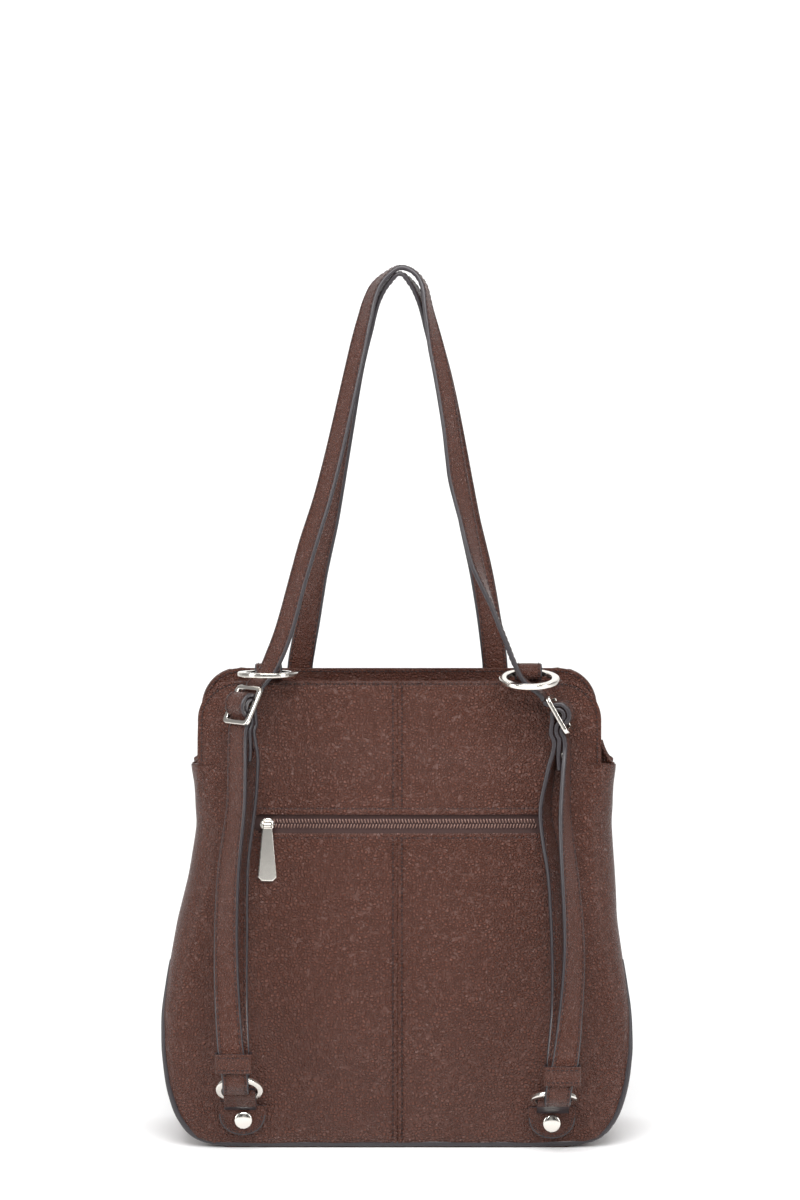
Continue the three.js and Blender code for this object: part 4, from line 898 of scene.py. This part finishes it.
def strap_sections(node):
    """Middles, width directions, thickness directions and sizes of a CAD strap's sections, in order.

    The walk starts at the point in the middle of one end, which has four neighbours, and takes the four
    corners of one section at a time. The longest spread of the corners is the width.
    """
    unique, index = np.unique(np.round(node_corners(node), 6), axis=0, return_inverse=True)
    edges = bpy.data.objects[node].data.edges
    ends = np.empty(len(edges) * 2, int)
    edges.foreach_get("vertices", ends)
    ends = index.reshape(-1)[ends].reshape(-1, 2)
    ends = np.unique(np.sort(ends[ends[:, 0] != ends[:, 1]], axis=1), axis=0)
    count = np.bincount(ends.reshape(-1), minlength=len(unique))
    level = np.full(len(unique), -1)
    level[np.flatnonzero(count == 4)[0]] = 0
    step = 0
    while True:
        near = (level[ends[:, 0]] == step) & (level[ends[:, 1]] < 0)
        far = (level[ends[:, 1]] == step) & (level[ends[:, 0]] < 0)
        found = np.concatenate([ends[near, 1], ends[far, 0]])
        if len(found) == 0:
            break
        step += 1
        level[found] = step
    rows = [unique[level == k] for k in range(1, step + 1) if (level == k).sum() == 4]
    middles = np.array([row.mean(0) for row in rows])
    across, over = [], []
    for row in rows:
        _, _, axes = np.linalg.svd(row - row.mean(0))
        across.append(axes[0] * (1 if not across or axes[0] @ across[-1] > 0 else -1))
        over.append(axes[1] * (1 if not over or axes[1] @ over[-1] > 0 else -1))
    spread = np.array([[np.ptp(row @ a), np.ptp(row @ b)] for row, a, b in zip(rows, across, over)])
    return middles, np.array(across), np.array(over), np.median(spread, axis=0)


def eased_rows(reach, rows, at):
    """Rows read between their places with a smooth cubic that passes through each."""
    slope = np.gradient(rows, reach, axis=0)
    k = np.clip(np.searchsorted(reach, at) - 1, 0, len(reach) - 2)
    gap = (reach[k + 1] - reach[k])[:, None]
    t = ((at - reach[k])[:, None]) / gap
    return ((1 + 2 * t) * (1 - t) ** 2 * rows[k] + t * (1 - t) ** 2 * gap * slope[k]
            + t * t * (3 - 2 * t) * rows[k + 1] + t * t * (t - 1) * gap * slope[k + 1])


strap_edge = 0.0010
strap_step = 0.0012
strap_stitch_inset = 0.0021
strap_pitch = 0.0037
strap_stitch = (0.0026, 0.00038)
strap_face = np.array([
    # share of the flat width, height in millimetres
    (-0.50, 0.00), (-0.44, 0.02), (-0.40, -0.10), (-0.36, 0.04), (-0.25, 0.10), (0.00, 0.12),
    (0.25, 0.10), (0.36, 0.04), (0.40, -0.10), (0.44, 0.02), (0.50, 0.00),
])


def strap_profile(width, thickness):
    """Corner points of a strap's section, rounded at its edges and slightly full between the stitches."""
    turn = np.linspace(0, np.pi / 2, 5)
    half_u = width / 2 - strap_edge
    half_v = thickness / 2 - strap_edge
    face_u = strap_face[:, 0] * (width - 2 * strap_edge)
    face_v = strap_face[:, 1] * 0.001
    top = np.stack([face_u, thickness / 2 + face_v], -1)
    right = np.stack([half_u + strap_edge * np.sin(turn[1:]), half_v + strap_edge * np.cos(turn[1:])], -1)
    under = np.stack([half_u + strap_edge * np.cos(turn[:-1]), -half_v - strap_edge * np.sin(turn[:-1])], -1)
    return np.concatenate([top, right, under, -top, -right, -under])


def build_strap(node):
    """A strap's smooth skin with painted edges, and two rows of stitches on each face."""
    middles, across, over, (width, thickness) = strap_sections(node)
    reach = np.concatenate([[0], np.cumsum(np.linalg.norm(np.diff(middles, axis=0), axis=1))])
    at = np.linspace(0, reach[-1], max(8, int(reach[-1] / strap_step)))
    middle, side, lift = (eased_rows(reach, rows, at) for rows in (middles, across, over))
    side /= np.linalg.norm(side, axis=1, keepdims=True)
    lift -= (lift * side).sum(1, keepdims=True) * side
    lift /= np.linalg.norm(lift, axis=1, keepdims=True)
    profile = strap_profile(width, thickness)
    count = len(profile)
    points = middle[:, None] + profile[None, :, :1] * side[:, None] + profile[None, :, 1:] * lift[:, None]
    strap = mesh_object(node + "_skin", points, tube_faces(len(at), count))
    strap.data.materials.append(strap_leather)
    strap.data.materials.append(edge_paint)
    painted = np.abs((profile[:, 0] + np.roll(profile[:, 0], -1)) / 2) > width / 2 - strap_edge
    slots = np.concatenate([np.tile(painted, len(at) - 1), [True, True]]).astype(np.int32)
    strap.data.polygons.foreach_set("material_index", slots)
    face_outward(strap.data)
    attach(strap, "bag")
    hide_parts(node)
    rows = []
    for edge_way in (-1, 1):
        for face_way in (-1, 1):
            out = lift * face_way
            line = middle + side * edge_way * (width / 2 - strap_stitch_inset) + out * (thickness / 2)
            rows.append(along_path(line, out, strap_pitch))
    capsules(node + "_stitches", *(np.concatenate([row[k] for row in rows]) for k in range(3)),
             *strap_stitch, thread)


for node in ("strap_left_run", "strap_right_run", "strap_arch", "handle_strap", "top_ring_tab_left",
             "top_ring_tab_right"):
    build_strap(node)

# ---- Keepers and patches ----
# Leather loops round both strap layers, and rounded patches at the base that hold the lower rings.
trim_voxel = 0.0003
trim_rounds = 4
trim_pitch = 0.0029
trim_stitch = (0.0020, 0.00036)
keeper_paint = 0.6
keeper_end = 0.0015
keeper_inset = 0.0022
keeper_steps = 12
patch_paint = 0.62
patch_inset = 0.0023
patch_rise = 0.0085
patch_skin = 0.0010
patch_border = 0.0010
patch_steps = 90


def node_places(node):
    """The distinct corner points of a CAD node in the frame."""
    return np.unique(np.round(node_corners(node), 6), axis=0)


def trim_piece(node, axis, painted):
    """A leather trim part with its cut edges painted.

    painted says of each face, from how squarely it looks along the axis, whether it is a cut edge.
    """
    piece = smooth_copy(node + "_skin", node, trim_voxel, trim_rounds)
    piece.data.materials.append(strap_leather)
    piece.data.materials.append(edge_paint)
    normals = np.empty(len(piece.data.polygons) * 3)
    piece.data.polygons.foreach_get("normal", normals)
    squareness = np.abs(normals.reshape(-1, 3) @ np.asarray(axis, float))
    piece.data.polygons.foreach_set("material_index", painted(squareness).astype(np.int32))
    return piece


for side_name in ("left", "right"):
    trim_piece("keeper_" + side_name, (0, 0, 1), lambda squareness: squareness > keeper_paint)
    keeper_low, keeper_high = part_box("keeper_" + side_name)
    keeper_x = np.linspace(keeper_low[0] + keeper_end, keeper_high[0] - keeper_end, keeper_steps)
    runs = []
    for keeper_z in (keeper_low[2] + keeper_inset, keeper_high[2] - keeper_inset):
        keeper_line = np.stack([keeper_x, 0 * keeper_x + keeper_low[1], 0 * keeper_x + keeper_z], -1)
        runs.append(along_path(keeper_line, np.tile([0.0, -1.0, 0.0], (keeper_steps, 1)), trim_pitch))
    # The patch's outline round its rivet is read from the CAD patch, as its reach at each turn.
    patch = trim_piece("anchor_" + side_name, (0, 1, 0), lambda squareness: squareness < patch_paint)
    patch_places = node_places("anchor_" + side_name)
    rivet_places = node_places("anchor_rivet_" + side_name)
    rivet_middle = rivet_places.mean(0)
    _, _, rivet_axes = np.linalg.svd(rivet_places - rivet_middle)
    patch_out = rivet_axes[2] * -np.sign(rivet_axes[2][1])
    patch_right = np.cross(patch_out, [0, 0, 1])
    patch_right /= -np.linalg.norm(patch_right)
    patch_up = np.cross(patch_out, patch_right)
    patch_up *= np.sign(patch_up[2])
    away = patch_places - rivet_middle
    away = away[(away @ patch_up < patch_rise) & (away @ patch_out < patch_skin)]
    turn = np.linspace(-1.03 * np.pi, 0.03 * np.pi, patch_steps)
    heading = np.cos(turn)[:, None] * patch_right + np.sin(turn)[:, None] * patch_up
    reach = np.convolve(np.pad((away @ heading.T).max(0), 8, mode="edge"), bell(8, 3.5), "valid")
    slope = np.gradient(reach, turn)
    outline_turn = turn + np.arctan2(slope, reach)
    outline_reach = np.hypot(slope, reach)
    # Faces within patch_border of that outline are its painted edge.
    spots = np.empty(len(patch.data.polygons) * 3)
    patch.data.polygons.foreach_get("center", spots)
    spots = spots.reshape(-1, 3) - rivet_middle
    spot_turn = np.arctan2(spots @ patch_up, spots @ patch_right)
    spot_turn = np.where(spot_turn > np.pi / 2, spot_turn - 2 * np.pi, spot_turn)
    spot_reach = np.hypot(spots @ patch_up, spots @ patch_right)
    outer = np.interp(spot_turn, outline_turn, outline_reach, left=1, right=1) - patch_border < spot_reach
    outer &= (spots @ patch_up < patch_rise) & (spots @ patch_out < patch_skin + 0.001)
    slots = np.empty(len(patch.data.polygons), np.int32)
    patch.data.polygons.foreach_get("material_index", slots)
    patch.data.polygons.foreach_set("material_index", np.where(outer, 1, slots).astype(np.int32))
    # The stitches follow the outline at an inset.
    reach = reach - patch_inset
    sideways = -np.sin(turn)[:, None] * patch_right + np.cos(turn)[:, None] * patch_up
    face_at = np.quantile(away @ patch_out, 0.97)
    patch_line = rivet_middle + heading * reach[:, None] + sideways * slope[:, None] + patch_out * face_at
    runs.append(along_path(patch_line, np.tile(patch_out, (patch_steps, 1)), trim_pitch))
    capsules("trim_stitches_" + side_name, *(np.concatenate([run[k] for run in runs]) for k in range(3)),
             *trim_stitch, thread)

# ---- Rings ----
# Flat cast nickel rings with rounded edges, turned on a lathe round the axis of their CAD ring.
ring_soft = 0.0009
ring_steps = 120


def ring_piece(node):
    """A ring lathed from the middle, axis, radii and height of its CAD node."""
    places = node_places(node)
    middle = places.mean(0)
    _, _, axes = np.linalg.svd(places - middle)
    away = places - middle
    height = away @ axes[2]
    radius = np.linalg.norm(away - height[:, None] * axes[2], axis=1)
    inner, outer, half = radius.min(), radius.max(), np.abs(height).max()
    soft = min(ring_soft, 0.42 * (outer - inner), 0.9 * half)
    corner = np.linspace(0, np.pi / 2, 6)
    quarter = np.stack([(outer - inner) / 2 - soft + soft * np.sin(corner),
                        half - soft + soft * np.cos(corner)], -1)
    loop = np.concatenate([quarter, (quarter * [1, -1])[::-1], -quarter, (quarter * [-1, 1])[::-1]])
    spin = np.linspace(0, 2 * np.pi, ring_steps, endpoint=False)
    spoke = np.cos(spin)[:, None] * axes[0] + np.sin(spin)[:, None] * axes[1]
    reach = (inner + outer) / 2 + loop[:, 0]
    points = middle + reach[None, :, None] * spoke[:, None] + loop[None, :, 1:] * axes[2]
    points = np.concatenate([points, points[:1]])
    ring = mesh_object(node + "_skin", points, grid_faces(len(points), len(loop), closed=True))
    face_outward(ring.data, join=1e-7)
    ring.data.materials.append(nickel)
    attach(ring, "bag")
    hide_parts(node)


for node in ("top_ring_left", "top_ring_right", "lower_ring_left", "lower_ring_right"):
    ring_piece(node)

# ---- Slides and rivets ----
# Three-bar slides of the same nickel, and small domed rivets through the strap ends and the patches.
rivet_rim = 0.3
rivet_foot_middle = 0.0002
rivet_dome_middle = 0.0001
rivet_steps = 48


def rivet_piece(node):
    """A rivet turned on a lathe: a low dome on a short straight rim, flat behind.

    Across the dome the height falls as the square root of 1 - (radius / full radius)^2.
    """
    places = node_places(node)
    middle = places.mean(0)
    _, _, axes = np.linalg.svd(places - middle)
    out = axes[2] * -np.sign(axes[2][1])
    height = (places - middle) @ out
    full = np.linalg.norm((places - middle) - height[:, None] * out, axis=1).max()
    low, high = height.min(), height.max()
    dome = np.linspace(0, np.pi / 2, 12)
    base = low + rivet_rim * (high - low)
    radius = np.concatenate([[rivet_foot_middle, full], full * np.cos(dome) + rivet_dome_middle * np.sin(dome)])
    level = np.concatenate([[low, low], base + (high - base) * np.sin(dome)])
    spin = np.linspace(0, 2 * np.pi, rivet_steps, endpoint=False)
    spoke = np.cos(spin)[:, None] * axes[0] + np.sin(spin)[:, None] * axes[1]
    points = middle + radius[:, None, None] * spoke[None] + level[:, None, None] * out
    rivet = mesh_object(node + "_skin", points, tube_faces(len(radius), rivet_steps))
    face_outward(rivet.data)
    rivet.data.materials.append(nickel)
    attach(rivet, "bag")
    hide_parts(node)


for node in ("end_rivet_left", "end_rivet_right", "anchor_rivet_left", "anchor_rivet_right"):
    rivet_piece(node)

for node in ("slide_left", "slide_right"):
    slide = smooth_copy(node + "_skin", node, trim_voxel, trim_rounds)
    slide.data.materials.append(nickel)
